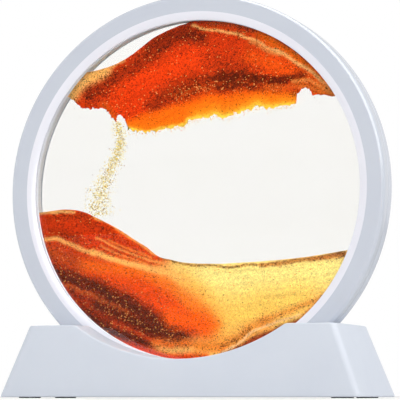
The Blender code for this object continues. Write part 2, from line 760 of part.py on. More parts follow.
def build_cover(parts, cutters, materials):
    """The cover plate with its screw holes and foot recesses."""
    inset = STAND_WALL + FIT_GAP
    cover = add_frustum(
        "bottom_cover", stand_half_sizes(COVER_BOTTOM, inset), stand_half_sizes(COVER_TOP, inset),
        COVER_BOTTOM, COVER_TOP, STAND_CORNER_RADIUS - STAND_WALL, parts,
        materials["cover_plastic"],
    )
    head_room = COVER_BOTTOM + SCREW_HEAD_HEIGHT + FIT_GAP
    for index, (x, y) in enumerate(corners(BOSS_SPACING_X, BOSS_SPACING_Y)):
        for label, radius, top in (
            ("head_room", SCREW_HEAD_RADIUS + FIT_GAP, head_room),
            ("shank_hole", SCREW_SHANK_RADIUS + FIT_GAP, COVER_TOP + OVERCUT),
        ):
            hole = add_cylinder(
                f"{label}_{index + 1}", radius, COVER_BOTTOM - OVERCUT, top, cutters, SMALL_FACETS
            )
            hole.location = (x, y, 0.0)
            add_boolean(cover, as_cutter(hole))
    for index, (x, y) in enumerate(corners(FOOT_SPACING_X, FOOT_SPACING_Y)):
        recess = add_cylinder(
            f"foot_recess_{index + 1}", FOOT_RADIUS + FIT_GAP, COVER_BOTTOM - OVERCUT,
            COVER_BOTTOM + FOOT_RECESS_DEPTH, cutters, SMALL_FACETS,
        )
        recess.location = (x, y, 0.0)
        add_boolean(cover, as_cutter(recess))


def build_fasteners(parts, materials):
    """The screws that hold the cover."""
    head_top = COVER_BOTTOM + SCREW_HEAD_HEIGHT
    tip = head_top + SCREW_SHANK_LENGTH
    profile = [
        (0.0, tip),
        (SCREW_SHANK_RADIUS, tip - SCREW_SHANK_RADIUS),
        (SCREW_SHANK_RADIUS, head_top),
        (SCREW_HEAD_RADIUS, head_top),
        (SCREW_HEAD_RADIUS, COVER_BOTTOM + FIT_GAP),
        (SCREW_HEAD_RADIUS - FIT_GAP, COVER_BOTTOM),
        (0.0, COVER_BOTTOM),
    ]
    for index, (x, y) in enumerate(corners(BOSS_SPACING_X, BOSS_SPACING_Y)):
        screw = add_turned(
            f"cover_screw_{index + 1}", profile, False, SMALL_FACETS, parts,
            materials["screw_steel"],
        )
        screw.location = (x, y, 0.0)


def build_feet(parts, materials):
    """The rubber feet in the recesses of the cover."""
    foot_top = COVER_BOTTOM + FOOT_RECESS_DEPTH - FIT_GAP
    profile = [
        (0.0, foot_top),
        (FOOT_RADIUS, foot_top),
        (FOOT_RADIUS, FOOT_EDGE),
        (FOOT_RADIUS - FOOT_EDGE, 0.0),
        (0.0, 0.0),
    ]
    for index, (x, y) in enumerate(corners(FOOT_SPACING_X, FOOT_SPACING_Y)):
        foot = add_turned(
            f"stand_foot_{index + 1}", profile, False, SMALL_FACETS, parts,
            materials["foot_rubber"],
        )
        foot.location = (x, y, 0.0)


def main():
    """Clears the scene and builds the object."""
    for item in list(bpy.data.objects):
        bpy.data.objects.remove(item)
    parts = bpy.data.collections.new("moving_sand_frame")
    cutters = bpy.data.collections.new("cutters")
    for collection in (parts, cutters):
        bpy.context.scene.collection.children.link(collection)
    materials = make_materials()
    build_stand(parts, cutters, materials)
    build_cover(parts, cutters, materials)
    build_fasteners(parts, materials)
    build_feet(parts, materials)
    axis = make_disc_axis(parts)
    build_frame(parts, cutters, axis, materials)
    build_cell(parts, cutters, axis, materials)
    build_sand(parts, cutters, axis, materials)
    build_liquid(parts, cutters, axis, materials)


main()
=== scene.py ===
"""Dressed model of a moving sand picture that turns in its stand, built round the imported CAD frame.

Metres, +Z up. The picture faces -Y and the disc turns about a line through its centre along Y. Two
half rings of glossy plastic close round a glass cell of clear liquid, in which coloured sand hangs,
falls and lies as a dune.
"""

import logging
import math
from contextlib import contextmanager
from dataclasses import dataclass, field
from enum import Enum
from typing import Callable, Iterator, Sequence

import bmesh
import bpy
import numpy as np
from mathutils import Matrix, Vector, noise


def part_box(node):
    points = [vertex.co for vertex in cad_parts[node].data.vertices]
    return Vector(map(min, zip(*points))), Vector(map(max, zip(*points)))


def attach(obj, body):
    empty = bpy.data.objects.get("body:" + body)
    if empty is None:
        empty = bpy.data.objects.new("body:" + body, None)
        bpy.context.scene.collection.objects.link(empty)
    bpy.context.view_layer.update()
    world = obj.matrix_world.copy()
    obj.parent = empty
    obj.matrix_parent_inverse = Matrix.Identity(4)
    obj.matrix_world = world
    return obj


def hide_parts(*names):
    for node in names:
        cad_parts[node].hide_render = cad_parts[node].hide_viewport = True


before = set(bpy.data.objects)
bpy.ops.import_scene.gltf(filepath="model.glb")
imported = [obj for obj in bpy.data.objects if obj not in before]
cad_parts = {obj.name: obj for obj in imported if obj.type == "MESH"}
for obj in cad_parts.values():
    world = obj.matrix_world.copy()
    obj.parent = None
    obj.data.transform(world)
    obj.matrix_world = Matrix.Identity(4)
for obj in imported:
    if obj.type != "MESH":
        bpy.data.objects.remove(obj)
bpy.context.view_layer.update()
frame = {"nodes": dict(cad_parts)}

LOG = logging.getLogger("moving_sand")
MM = 0.001

# The disc's centre, as the CAD has it: the middle of the front pane
AXIS_HEIGHT = (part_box("front_glass")[0].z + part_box("front_glass")[1].z) / 2
DISC_CENTRE = Vector((0.0, 0.0, AXIS_HEIGHT))
ORIGIN = Vector((0.0, 0.0, 0.0))
UP = Vector((0.0, 0.0, 1.0))
BACKWARDS = Vector((0.0, 1.0, 0.0))

Point = tuple[float, float]
Corner = tuple[float, float, float]
Colour = tuple[float, float, float, float]
Piece = bpy.types.Object
Material = bpy.types.Material
Node = bpy.types.Node
Socket = bpy.types.NodeSocket
Tree = bpy.types.NodeTree


class Body(Enum):
    """The two bodies of the frame that pieces ride on."""

    STAND = "stand"
    DISC = "disc"


class Side(Enum):
    """Front or rear half of the disc. The value is the sign of the way it faces along Y."""

    FRONT = -1.0
    REAR = 1.0


# Finishes


def linear(hex_colour: str) -> Colour:
    """Turns an sRGB hex colour to linear light.

    Args:
        hex_colour: Six hex digits after a #.

    Returns:
        Linear red, green, blue and a full alpha.
    """
    channels = [int(hex_colour[i:i + 2], 16) / 255 for i in (1, 3, 5)]
    light = [c / 12.92 if c <= 0.04045 else ((c + 0.055) / 1.055) ** 2.4 for c in channels]
    return (light[0], light[1], light[2], 1.0)


def feed(tree: Tree, node: Node, inputs: dict) -> None:
    """Gives a node's inputs what they hold.

    Args:
        tree: The node tree.
        node: The node.
        inputs: By an input's name or number: a number, a vector, a hex colour, or the output socket
            that it is linked to.
    """
    for key, value in inputs.items():
        if isinstance(value, Socket):
            tree.links.new(value, node.inputs[key])
        else:
            node.inputs[key].default_value = linear(value) if isinstance(value, str) else value


def add_node(
    tree: Tree, kind: str, settings: dict | None = None, inputs: dict | None = None
) -> Node:
    """Adds a shader node with its settings and links.

    Args:
        tree: The node tree that gets it.
        kind: The node's type name, without the word ShaderNode in front.
        settings: Values by property name.
        inputs: What each input holds, as for feed.

    Returns:
        The new node.
    """
    node = tree.nodes.new("ShaderNode" + kind)
    for key, value in (settings or {}).items():
        setattr(node, key, value)
    feed(tree, node, inputs or {})
    return node


def start_material(name: str) -> tuple[Tree, Node, Socket]:
    """Starts a material.

    Args:
        name: The material's name.

    Returns:
        Its node tree, its Principled shader and the Object coordinates.
    """
    material = bpy.data.materials.new(name)
    material.use_nodes = True
    tree = material.node_tree
    place = add_node(tree, "TexCoord").outputs["Object"]
    return tree, tree.nodes["Principled BSDF"], place


def clouds(
    tree: Tree, place: Socket, size: float, low: float = 0.0, high: float = 1.0, detail: float = 3.0
) -> Socket:
    """Soft clouds of a real size.

    Args:
        tree: The node tree.
        place: The coordinates to read.
        size: The size of one cloud in metres.
        low: The value between the clouds.
        high: The value in the middle of a cloud.
        detail: How many finer octaves they have.

    Returns:
        The clouds' value.
    """
    haze = add_node(tree, "TexNoise", {}, {"Scale": 1 / size, "Detail": detail, "Vector": place})
    return add_node(tree, "MapRange", {}, {
        "Value": haze.outputs["Fac"], "From Min": 0.3, "From Max": 0.7,
        "To Min": low, "To Max": high,
    }).outputs["Result"]


def clouded_tint(tree: Tree, place: Socket, size: float, first: str, second: str) -> Socket:
    """Two hex colours that pass into each other in clouds of a real size in metres."""
    share = clouds(tree, place, size)
    return add_node(tree, "Mix", {"data_type": "RGBA"}, {0: share, 6: first, 7: second}).outputs[2]


def fine_relief(tree: Tree, place: Socket, size: float, depth: float, strength: float) -> Socket:
    """The normals of a fine, even relief.

    Args:
        tree: The node tree.
        place: The coordinates to read.
        size: The width of one bump in metres.
        depth: The height of one bump in metres.
        strength: How much of it shows.

    Returns:
        The normals.
    """
    bumps = add_node(tree, "TexNoise", {}, {"Scale": 1 / size, "Vector": place}).outputs["Fac"]
    return add_node(
        tree, "Bump", {}, {"Strength": strength, "Distance": depth, "Height": bumps}
    ).outputs["Normal"]


@dataclass(frozen=True)
class MouldedAbs:
    """Injection-moulded ABS from a polished tool.

    To the eye it is even and glossy, with broad, barely visible clouds where the melt flowed and a
    shallow orange peel that softens the edges of reflections.
    """

    name: str
    colour: str
    flow_colour: str
    roughness: float = 0.20
    ior: float = 1.53
    flow_size: float = 24 * MM
    haze_size: float = 6 * MM
    haze: float = 0.02
    peel_size: float = 1.6 * MM
    peel_depth: float = 0.006 * MM

    def make(self) -> Material:
        """Builds the material and returns it."""
        tree, shader, place = start_material(self.name)
        low, high = self.roughness - self.haze, self.roughness + self.haze
        feed(tree, shader, {
            "Base Color": clouded_tint(tree, place, self.flow_size, self.colour, self.flow_colour),
            "Roughness": clouds(tree, place, self.haze_size, low, high, 2.0),
            "IOR": self.ior,
            "Normal": fine_relief(tree, place, self.peel_size, self.peel_depth, 0.5),
        })
        return bpy.data.materials[self.name]


@dataclass(frozen=True)
class FloatGlass:
    """Clear float glass, wiped clean, with a border of white enamel printed where the seal lies.

    To the eye the glass is perfectly smooth, with a trace of haze where a cloth dried. The enamel
    hides the spacer, so that the picture ends in a white edge.
    """

    name: str
    colour: str
    enamel_colour: str
    enamel_from: float
    ior: float = 1.50
    wipe_size: float = 18 * MM
    haze: float = 0.003
    enamel_roughness: float = 0.35

    def make(self) -> Material:
        """Builds the material and returns it."""
        tree, shader, place = start_material(self.name)
        from_centre = add_node(
            tree, "VectorMath", {"operation": "SUBTRACT"}, {0: place, 1: tuple(DISC_CENTRE)}
        ).outputs["Vector"]
        from_axis = add_node(
            tree, "VectorMath", {"operation": "MULTIPLY"}, {0: from_centre, 1: (1.0, 0.0, 1.0)}
        ).outputs["Vector"]
        radius = add_node(
            tree, "VectorMath", {"operation": "LENGTH"}, {0: from_axis}
        ).outputs["Value"]
        enamel = add_node(
            tree, "Math", {"operation": "GREATER_THAN"}, {0: radius, 1: self.enamel_from}
        ).outputs["Value"]
        wiped = clouds(tree, place, self.wipe_size, 0.0, self.haze, 4.0)
        feed(tree, shader, {
            "Base Color": add_node(
                tree, "Mix", {"data_type": "RGBA"},
                {0: enamel, 6: self.colour, 7: self.enamel_colour},
            ).outputs[2],
            "Roughness": add_node(
                tree, "Math", {"operation": "MULTIPLY_ADD"},
                {0: enamel, 1: self.enamel_roughness, 2: wiped},
            ).outputs["Value"],
            "IOR": self.ior,
            "Transmission Weight": add_node(
                tree, "Math", {"operation": "SUBTRACT"}, {0: 1.0, 1: enamel}
            ).outputs["Value"],
        })
        return bpy.data.materials[self.name]


@dataclass(frozen=True)
class ClearLiquid:
    """Water with a little glycerine, faintly clouded by fine sand that stays afloat.

    To the eye it is clear, with a warm cast against a white wall.
    """

    name: str
    colour: str
    cloud_colour: str
    ior: float = 1.34
    cloud_size: float = 30 * MM

    def make(self) -> Material:
        """Builds the material and returns it."""
        tree, shader, place = start_material(self.name)
        cloudy = clouded_tint(tree, place, self.cloud_size, self.colour, self.cloud_colour)
        feed(tree, shader, {
            "Base Color": cloudy,
            "Roughness": 0.0,
            "IOR": self.ior,
            "Transmission Weight": 1.0,
        })
        return bpy.data.materials[self.name]


@dataclass(frozen=True)
class DyedSand:
    """Dyed quartz sand, seen wet through the pane: each grain has its own shade, none of it shines.

    The colour of a place, and its share of dark and of pale grains, are attributes of the mesh.
    Real grains are about 0.2 mm. They are drawn two to three times as coarse, so that they show.
    """

    name: str
    dark: str = "#451A06"
    pale: str = "#F0A252"
    grain: float = 0.42 * MM
    grain_relief: float = 0.06 * MM
    clump: float = 2.4 * MM
    dimmest: float = 0.74
    brightest: float = 1.22
    least_dark: float = 0.45

    def make(self) -> Material:
        """Builds the material and returns it."""
        tree, shader, place = start_material(self.name)
        tint = add_node(tree, "Attribute", {"attribute_name": "sand_tint"}).outputs["Color"]
        dark_share = add_node(tree, "Attribute", {"attribute_name": "dark_share"}).outputs["Fac"]
        pale_share = add_node(tree, "Attribute", {"attribute_name": "pale_share"}).outputs["Fac"]
        cells = add_node(tree, "TexVoronoi", {}, {"Scale": 1 / self.grain, "Vector": place}).outputs
        draws = add_node(tree, "SeparateColor", {}, {"Color": cells["Color"]}).outputs
        gain, how_dark = (
            add_node(
                tree, "MapRange", {}, {"Value": draws["Blue"], "To Min": low, "To Max": high}
            ).outputs["Result"]
            for low, high in ((self.dimmest, self.brightest), (self.least_dark, 1.0))
        )
        shaded = add_node(tree, "VectorMath", {"operation": "SCALE"}, {0: tint, "Scale": gain})
        dark_here = add_node(
            tree, "Math", {"operation": "MULTIPLY"},
            {0: dark_share, 1: clouds(tree, place, self.clump, 0.55, 1.45, 2.0)},
        ).outputs["Value"]
        is_dark, is_pale = (
            add_node(tree, "Math", {"operation": "LESS_THAN"}, {0: draw, 1: share}).outputs["Value"]
            for draw, share in ((draws["Red"], dark_here), (draws["Green"], pale_share))
        )
        darkness = add_node(
            tree, "Math", {"operation": "MULTIPLY"}, {0: is_dark, 1: how_dark}
        ).outputs["Value"]
        colour = shaded.outputs["Vector"]
        for share, grain_colour in ((darkness, self.dark), (is_pale, self.pale)):
            colour = add_node(
                tree, "Mix", {"data_type": "RGBA"}, {0: share, 6: colour, 7: grain_colour}
            ).outputs[2]
        feed(tree, shader, {
            "Base Color": colour,
            "Roughness": 0.95,
            "Specular IOR Level": 0.1,
            "Normal": add_node(tree, "Bump", {}, {
                "Strength": 0.25, "Distance": self.grain_relief, "Height": cells["Distance"],
            }).outputs["Normal"],
        })
        return bpy.data.materials[self.name]


@dataclass(frozen=True)
class LooseGrain:
    """A loose grain of pale quartz, wet all round.

    To the eye it glows in its own tint with the light behind it, because wet quartz hardly bends
    light: its index is given as 1, and its faces don't shine. Each grain's tint is an attribute of
    the mesh, with a faint flaw inside that a grain really has.
    """

    name: str
    ior: float = 1.0
    flaw: float = 0.15 * MM

    def make(self) -> Material:
        """Builds the material and returns it."""
        tree, shader, place = start_material(self.name)
        tint = add_node(tree, "Attribute", {"attribute_name": "sand_tint"}).outputs["Color"]
        flaws = clouds(tree, place, self.flaw, 0.92, 1.0, 2.0)
        feed(tree, shader, {
            "Base Color": add_node(
                tree, "VectorMath", {"operation": "SCALE"}, {0: tint, "Scale": flaws}
            ).outputs["Vector"],
            "Roughness": 0.0,
            "IOR": self.ior,
            "Transmission Weight": 1.0,
        })
        return bpy.data.materials[self.name]


@dataclass(frozen=True)
class MouldedRubber:
    """Compression-moulded silicone rubber.

    To the eye it is soft and satin, with a fine, even grain from the tool and a trace of dust.
    """

    name: str
    colour: str
    dust_colour: str
    roughness: float = 0.6
    ior: float = 1.41
    dust_size: float = 6 * MM
    grain: float = 0.5 * MM
    grain_relief: float = 0.02 * MM

    def make(self) -> Material:
        """Builds the material and returns it."""
        tree, shader, place = start_material(self.name)
        feed(tree, shader, {
            "Base Color": clouded_tint(tree, place, self.dust_size, self.colour, self.dust_colour),
            "Roughness": self.roughness,
            "IOR": self.ior,
            "Normal": fine_relief(tree, place, self.grain, self.grain_relief, 0.6),
        })
        return bpy.data.materials[self.name]


@dataclass(frozen=True)
class ZincPlatedSteel:
    """Cold-headed steel with bright zinc.

    To the eye it is grey metal with small crystalline patches and tool marks.
    """

    name: str
    colour: str
    patch_colour: str
    patch: float = 0.6 * MM
    mark_size: float = 0.25 * MM
    mark_depth: float = 0.01 * MM

    def make(self) -> Material:
        """Builds the material and returns it."""
        tree, shader, place = start_material(self.name)
        cells = add_node(tree, "TexVoronoi", {}, {"Scale": 1 / self.patch, "Vector": place}).outputs
        share = add_node(tree, "SeparateColor", {}, {"Color": cells["Color"]}).outputs["Red"]
        feed(tree, shader, {
            "Base Color": add_node(
                tree, "Mix", {"data_type": "RGBA"}, {0: share, 6: self.colour, 7: self.patch_colour}
            ).outputs[2],
            "Roughness": clouds(tree, place, self.patch, 0.26, 0.40),
            "Metallic": 1.0,
            "Normal": fine_relief(tree, place, self.mark_size, self.mark_depth, 0.4),
        })
        return bpy.data.materials[self.name]


@dataclass(frozen=True)
class StudioPaper:
    """The roll of white paper that the object stands on: matt, with a soft tooth."""

    name: str = "studio_paper"
    colour: str = "#F6F6F5"
    shade: str = "#F3F3F2"
    tooth: float = 60 * MM

    def make(self) -> Material:
        """Builds the material and returns it."""
        tree, shader, place = start_material(self.name)
        feed(tree, shader, {
            "Base Color": clouded_tint(tree, place, self.tooth, self.colour, self.shade),
            "Roughness": 0.9,
            "Specular IOR Level": 0.0,
        })
        return bpy.data.materials[self.name]


@dataclass
class Finishes:
    """Every finish of the object, built once."""

    frame: Material = field(init=False)
    bevel: Material = field(init=False)
    stand: Material = field(init=False)
    cover: Material = field(init=False)
    spacer: Material = field(init=False)
    glass: Material = field(init=False)
    liquid: Material = field(init=False)
    sand: Material = field(init=False)
    grains: Material = field(init=False)
    gasket: Material = field(init=False)
    plug: Material = field(init=False)
    foot: Material = field(init=False)
    steel: Material = field(init=False)

    def __post_init__(self) -> None:
        """Builds the materials."""
        self.frame = MouldedAbs("ring_lavender_abs", "#CFD4DE", "#CCD1DC", 0.17, 1.46).make()
        # The ring's own plastic painted lighter for the inner bevel: a painted highlight for the
        # light that the bevel catches
        self.bevel = MouldedAbs("ring_inner_bevel_painted_highlight_abs", "#F1F1F9", "#EEEEF7", 0.20).make()
        self.stand = MouldedAbs("stand_lavender_abs", "#CFD5DF", "#CCD2DD", 0.62, 1.42).make()
        self.cover = MouldedAbs("cover_plate_abs", "#C8CDD8", "#C4C9D5", 0.45).make()
        self.spacer = MouldedAbs("spacer_acrylic", "#FAFAFB", "#F6F7F9", 0.30).make()
        self.glass = FloatGlass("clear_float_glass", "#FEFEFE", "#F6F7FA", 78.3 * MM).make()
        self.liquid = ClearLiquid("clear_liquid_warm", "#FFFEFB", "#FEFDF9").make()
        self.sand = DyedSand("dyed_sand").make()
        self.grains = LooseGrain("loose_grains").make()
        self.gasket = MouldedRubber("gasket_silicone", "#DADCE2", "#D2D4DB").make()
        self.plug = MouldedRubber("plug_silicone", "#DCDEE3", "#D2D5DB", 0.55).make()
        self.foot = MouldedRubber("foot_white_silicone", "#F4F5F8", "#ECEEF2", 0.5).make()
        self.steel = ZincPlatedSteel("zinc_plated_steel", "#C3C6CA", "#A9ADB3").make()


# The bench


class Bench:
    """Blender's own modelling operators, each used on one piece at a time."""

    @staticmethod
    def take(piece: Piece) -> None:
        """Selects one piece alone and makes it the active one.

        Args:
            piece: The piece.
        """
        bpy.ops.object.select_all(action="DESELECT")
        piece.select_set(True)
        bpy.context.view_layer.objects.active = piece

    @staticmethod
    @contextmanager
    def editing(piece: Piece, kind: str = "VERT") -> Iterator[bmesh.types.BMesh]:
        """Opens a piece in edit mode.

        Args:
            piece: The piece.
            kind: What is selected there: VERT, EDGE or FACE.

        Returns:
            Its edit mesh, with nothing selected.
        """
        Bench.take(piece)
        bpy.ops.object.mode_set(mode="EDIT")
        bpy.ops.mesh.select_mode(type=kind)
        bpy.ops.mesh.select_all(action="DESELECT")
        yield bmesh.from_edit_mesh(piece.data)
        bpy.ops.object.mode_set(mode="OBJECT")

    @staticmethod
    def pick(piece: Piece, kind: str, test: Callable[..., bool]) -> None:
        """Selects by place or normal in an open edit mesh.

        Args:
            piece: The piece in edit mode.
            kind: VERT, EDGE or FACE.
            test: Says of each element whether it is picked.
        """
        bpy.ops.mesh.select_mode(type=kind)
        bpy.ops.mesh.select_all(action="DESELECT")
        mesh = bmesh.from_edit_mesh(piece.data)
        items = {"VERT": mesh.verts, "EDGE": mesh.edges, "FACE": mesh.faces}[kind]
        for item in [item for item in items if test(item)]:
            item.select_set(True)
        mesh.select_flush_mode()
        bmesh.update_edit_mesh(piece.data)

    @staticmethod
    def outline(name: str, points: Sequence[Vector], closed: bool = True) -> Piece:
        """Lays out a wire outline.

        Args:
            name: The piece's name.
            points: Its corners in order.
            closed: Whether the last corner joins the first.

        Returns:
            The outline as a piece.
        """
        bpy.ops.object.select_all(action="DESELECT")
        bpy.ops.mesh.primitive_circle_add(vertices=len(points), radius=1.0, fill_type="NOTHING")
        piece = bpy.context.active_object
        piece.name = name
        piece.data.name = name
        for vert, point in zip(piece.data.vertices, points):
            vert.co = point
        if not closed:
            last = len(points) - 1
            with Bench.editing(piece, "EDGE"):
                Bench.pick(piece, "EDGE", lambda e: {v.index for v in e.verts} == {0, last})
                bpy.ops.mesh.delete(type="EDGE")
        return piece

    @staticmethod
    def spin(piece: Piece, steps: int, centre: Vector, axis: Vector) -> None:
        """Turns an outline once round an axis and closes the skin.

        Args:
            piece: The outline.
            steps: Faces round the full circle.
            centre: A point on the axis.
            axis: The axis.
        """
        with Bench.editing(piece):
            bpy.ops.mesh.select_all(action="SELECT")
            bpy.ops.mesh.spin(steps=steps, angle=math.tau, center=centre, axis=axis)
            Bench.close_skin()

    @staticmethod
    def close_skin() -> None:
        """Merges doubles in the open edit mesh and turns its faces outwards."""
        bpy.ops.mesh.select_all(action="SELECT")
        bpy.ops.mesh.remove_doubles(threshold=0.002 * MM)
        bpy.ops.mesh.dissolve_degenerate(threshold=0.001 * MM)
        bpy.ops.mesh.select_all(action="SELECT")
        bpy.ops.mesh.normals_make_consistent(inside=False)

    @staticmethod
    def thicken(depth: float) -> None:
        """Gives the open edit mesh a thickness and turns its faces outwards.

        Args:
            depth: The thickness in metres, towards the rear.
        """
        bpy.ops.mesh.select_all(action="SELECT")
        bpy.ops.mesh.extrude_region_move(TRANSFORM_OT_translate={"value": (0.0, depth, 0.0)})
        bpy.ops.mesh.select_all(action="SELECT")
        bpy.ops.mesh.normals_make_consistent(inside=False)

    @staticmethod
    def turned(
        name: str, points: Sequence[Vector], steps: int, centre: Vector = ORIGIN, axis: Vector = UP
    ) -> Piece:
        """Turns a solid piece.

        Args:
            name: The piece's name.
            points: Half its section, from one end of the axis to the other.
            steps: Faces round it.
            centre: A point on the axis.
            axis: The axis.

        Returns:
            The piece.
        """
        piece = Bench.outline(name, points, closed=False)
        Bench.spin(piece, steps, centre, axis)
        return piece

    @staticmethod
    def read_places(piece: Piece) -> np.ndarray:
        """Reads the places of a piece's vertices, in metres, one row each."""
        flat = np.zeros(len(piece.data.vertices) * 3, np.float32)
        piece.data.vertices.foreach_get("co", flat)
        return flat.reshape(-1, 3)

    @staticmethod
    def write_places(piece: Piece, places: np.ndarray) -> None:
        """Puts a piece's vertices at places in metres, one row each."""
        piece.data.vertices.foreach_set("co", places.astype(np.float32).ravel())
        piece.data.update()

    @staticmethod
    def cut(piece: Piece, tool: Piece) -> None:
        """Cuts a piece with a tool body, which is used up.

        Args:
            piece: The piece that is cut.
            tool: The body that cuts it.
        """
        modifier = piece.modifiers.new("cut", "BOOLEAN")
        modifier.object = tool
        modifier.operation = "DIFFERENCE"
        modifier.solver = "EXACT"
        Bench.take(piece)
        bpy.ops.object.modifier_apply(modifier=modifier.name)
        bpy.data.objects.remove(tool)

    @staticmethod
    def round_edges(piece: Piece, width: float, segments: int, angle: float) -> None:
        """Rounds every outer edge sharper than an angle.

        Args:
            piece: The piece.
            width: The rounding's width in metres.
            segments: Its faces across.
            angle: The angle in degrees.
        """
        limit = math.radians(angle)
        with Bench.editing(piece, "EDGE"):
            Bench.pick(piece, "EDGE", lambda e: e.is_convex and e.calc_face_angle(0.0) > limit)
            bpy.ops.mesh.bevel(
                offset=width, segments=segments, affect="EDGES", clamp_overlap=False
            )

    @staticmethod
    def cylinder(name: str, radius: float, start: Vector, end: Vector, steps: int) -> Piece:
        """Adds a cylinder between two points, as a tool body.

        Args:
            name: Its name.
            radius: Its radius.
            start: The middle of one end.
            end: The middle of the other.
            steps: Faces round it.

        Returns:
            The cylinder.
        """
        along = end - start
        bpy.ops.object.select_all(action="DESELECT")
        bpy.ops.mesh.primitive_cylinder_add(
            vertices=steps, radius=radius, depth=along.length, location=(start + end) / 2,
            rotation=along.to_track_quat("Z", "Y").to_euler(),
        )
        piece = bpy.context.active_object
        piece.name = name
        Bench.take(piece)
        bpy.ops.object.transform_apply(location=True, rotation=True, scale=True)
        return piece

    @staticmethod
    def box(name: str, low: Vector, high: Vector) -> Piece:
        """Adds a box.

        Args:
            name: Its name.
            low: Its lowest corner.
            high: Its highest corner.

        Returns:
            The box.
        """
        bpy.ops.object.select_all(action="DESELECT")
        bpy.ops.mesh.primitive_cube_add(size=1.0, location=(low + high) / 2)
        piece = bpy.context.active_object
        piece.name = name
        piece.scale = high - low
        Bench.take(piece)
        bpy.ops.object.transform_apply(location=True, rotation=True, scale=True)
        return piece

    @staticmethod
    def copy(piece: Piece, name: str, shift: Vector) -> Piece:
        """Copies a piece with a mesh of its own.

        Args:
            piece: The piece.
            name: The copy's name.
            shift: How far the copy lies from the piece.

        Returns:
            The copy.
        """
        twin = piece.copy()
        twin.data = piece.data.copy()
        twin.name = name
        twin.data.name = name
        bpy.context.scene.collection.objects.link(twin)
        twin.location = shift
        Bench.take(twin)
        bpy.ops.object.transform_apply(location=True, rotation=True, scale=True)
        return twin


def rounded(corners: Sequence[Corner], steps: int = 5) -> list[Point]:
    """Rounds the corners of a closed outline.

    Args:
        corners: Each corner's two coordinates and its radius.
        steps: Points on each rounding, less one.

    Returns:
        The outline's points.
    """
    path: list[Point] = []
    count = len(corners)
    for i, (x, y, radius) in enumerate(corners):
        if radius <= 0.0:
            path.append((x, y))
            continue
        here = Vector((x, y))
        before = (Vector(corners[i - 1][:2]) - here).normalized()
        after = (Vector(corners[(i + 1) % count][:2]) - here).normalized()
        half = before.angle(after) / 2
        reach = radius / math.tan(half)
        middle = here + (before + after).normalized() * (radius / math.sin(half))
        first = here + before * reach - middle
        last = here + after * reach - middle
        for k in range(steps + 1):
            turned = first.lerp(last, k / steps).normalized() * radius + middle
            path.append((turned.x, turned.y))
    return path


def dress(
    piece: Piece, body: Body, nodes: Sequence[str],
    finish: Material, smooth: float = 30.0,
) -> Piece:
    """Finishes a piece: shading, material, and its place in the frame.

    Args:
        piece: The piece, in place.
        body: The body that it rides on.
        nodes: The CAD nodes that it stands for.
        finish: Its material.
        smooth: Edges sharper than this many degrees stay sharp.

    Returns:
        The piece.
    """
    Bench.take(piece)
    bpy.ops.object.shade_smooth_by_angle(angle=math.radians(smooth))
    if not piece.data.materials:
        piece.data.materials.append(finish)
    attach(piece, body.value)
    if nodes:
        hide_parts(*nodes)
    return piece


# The round frame


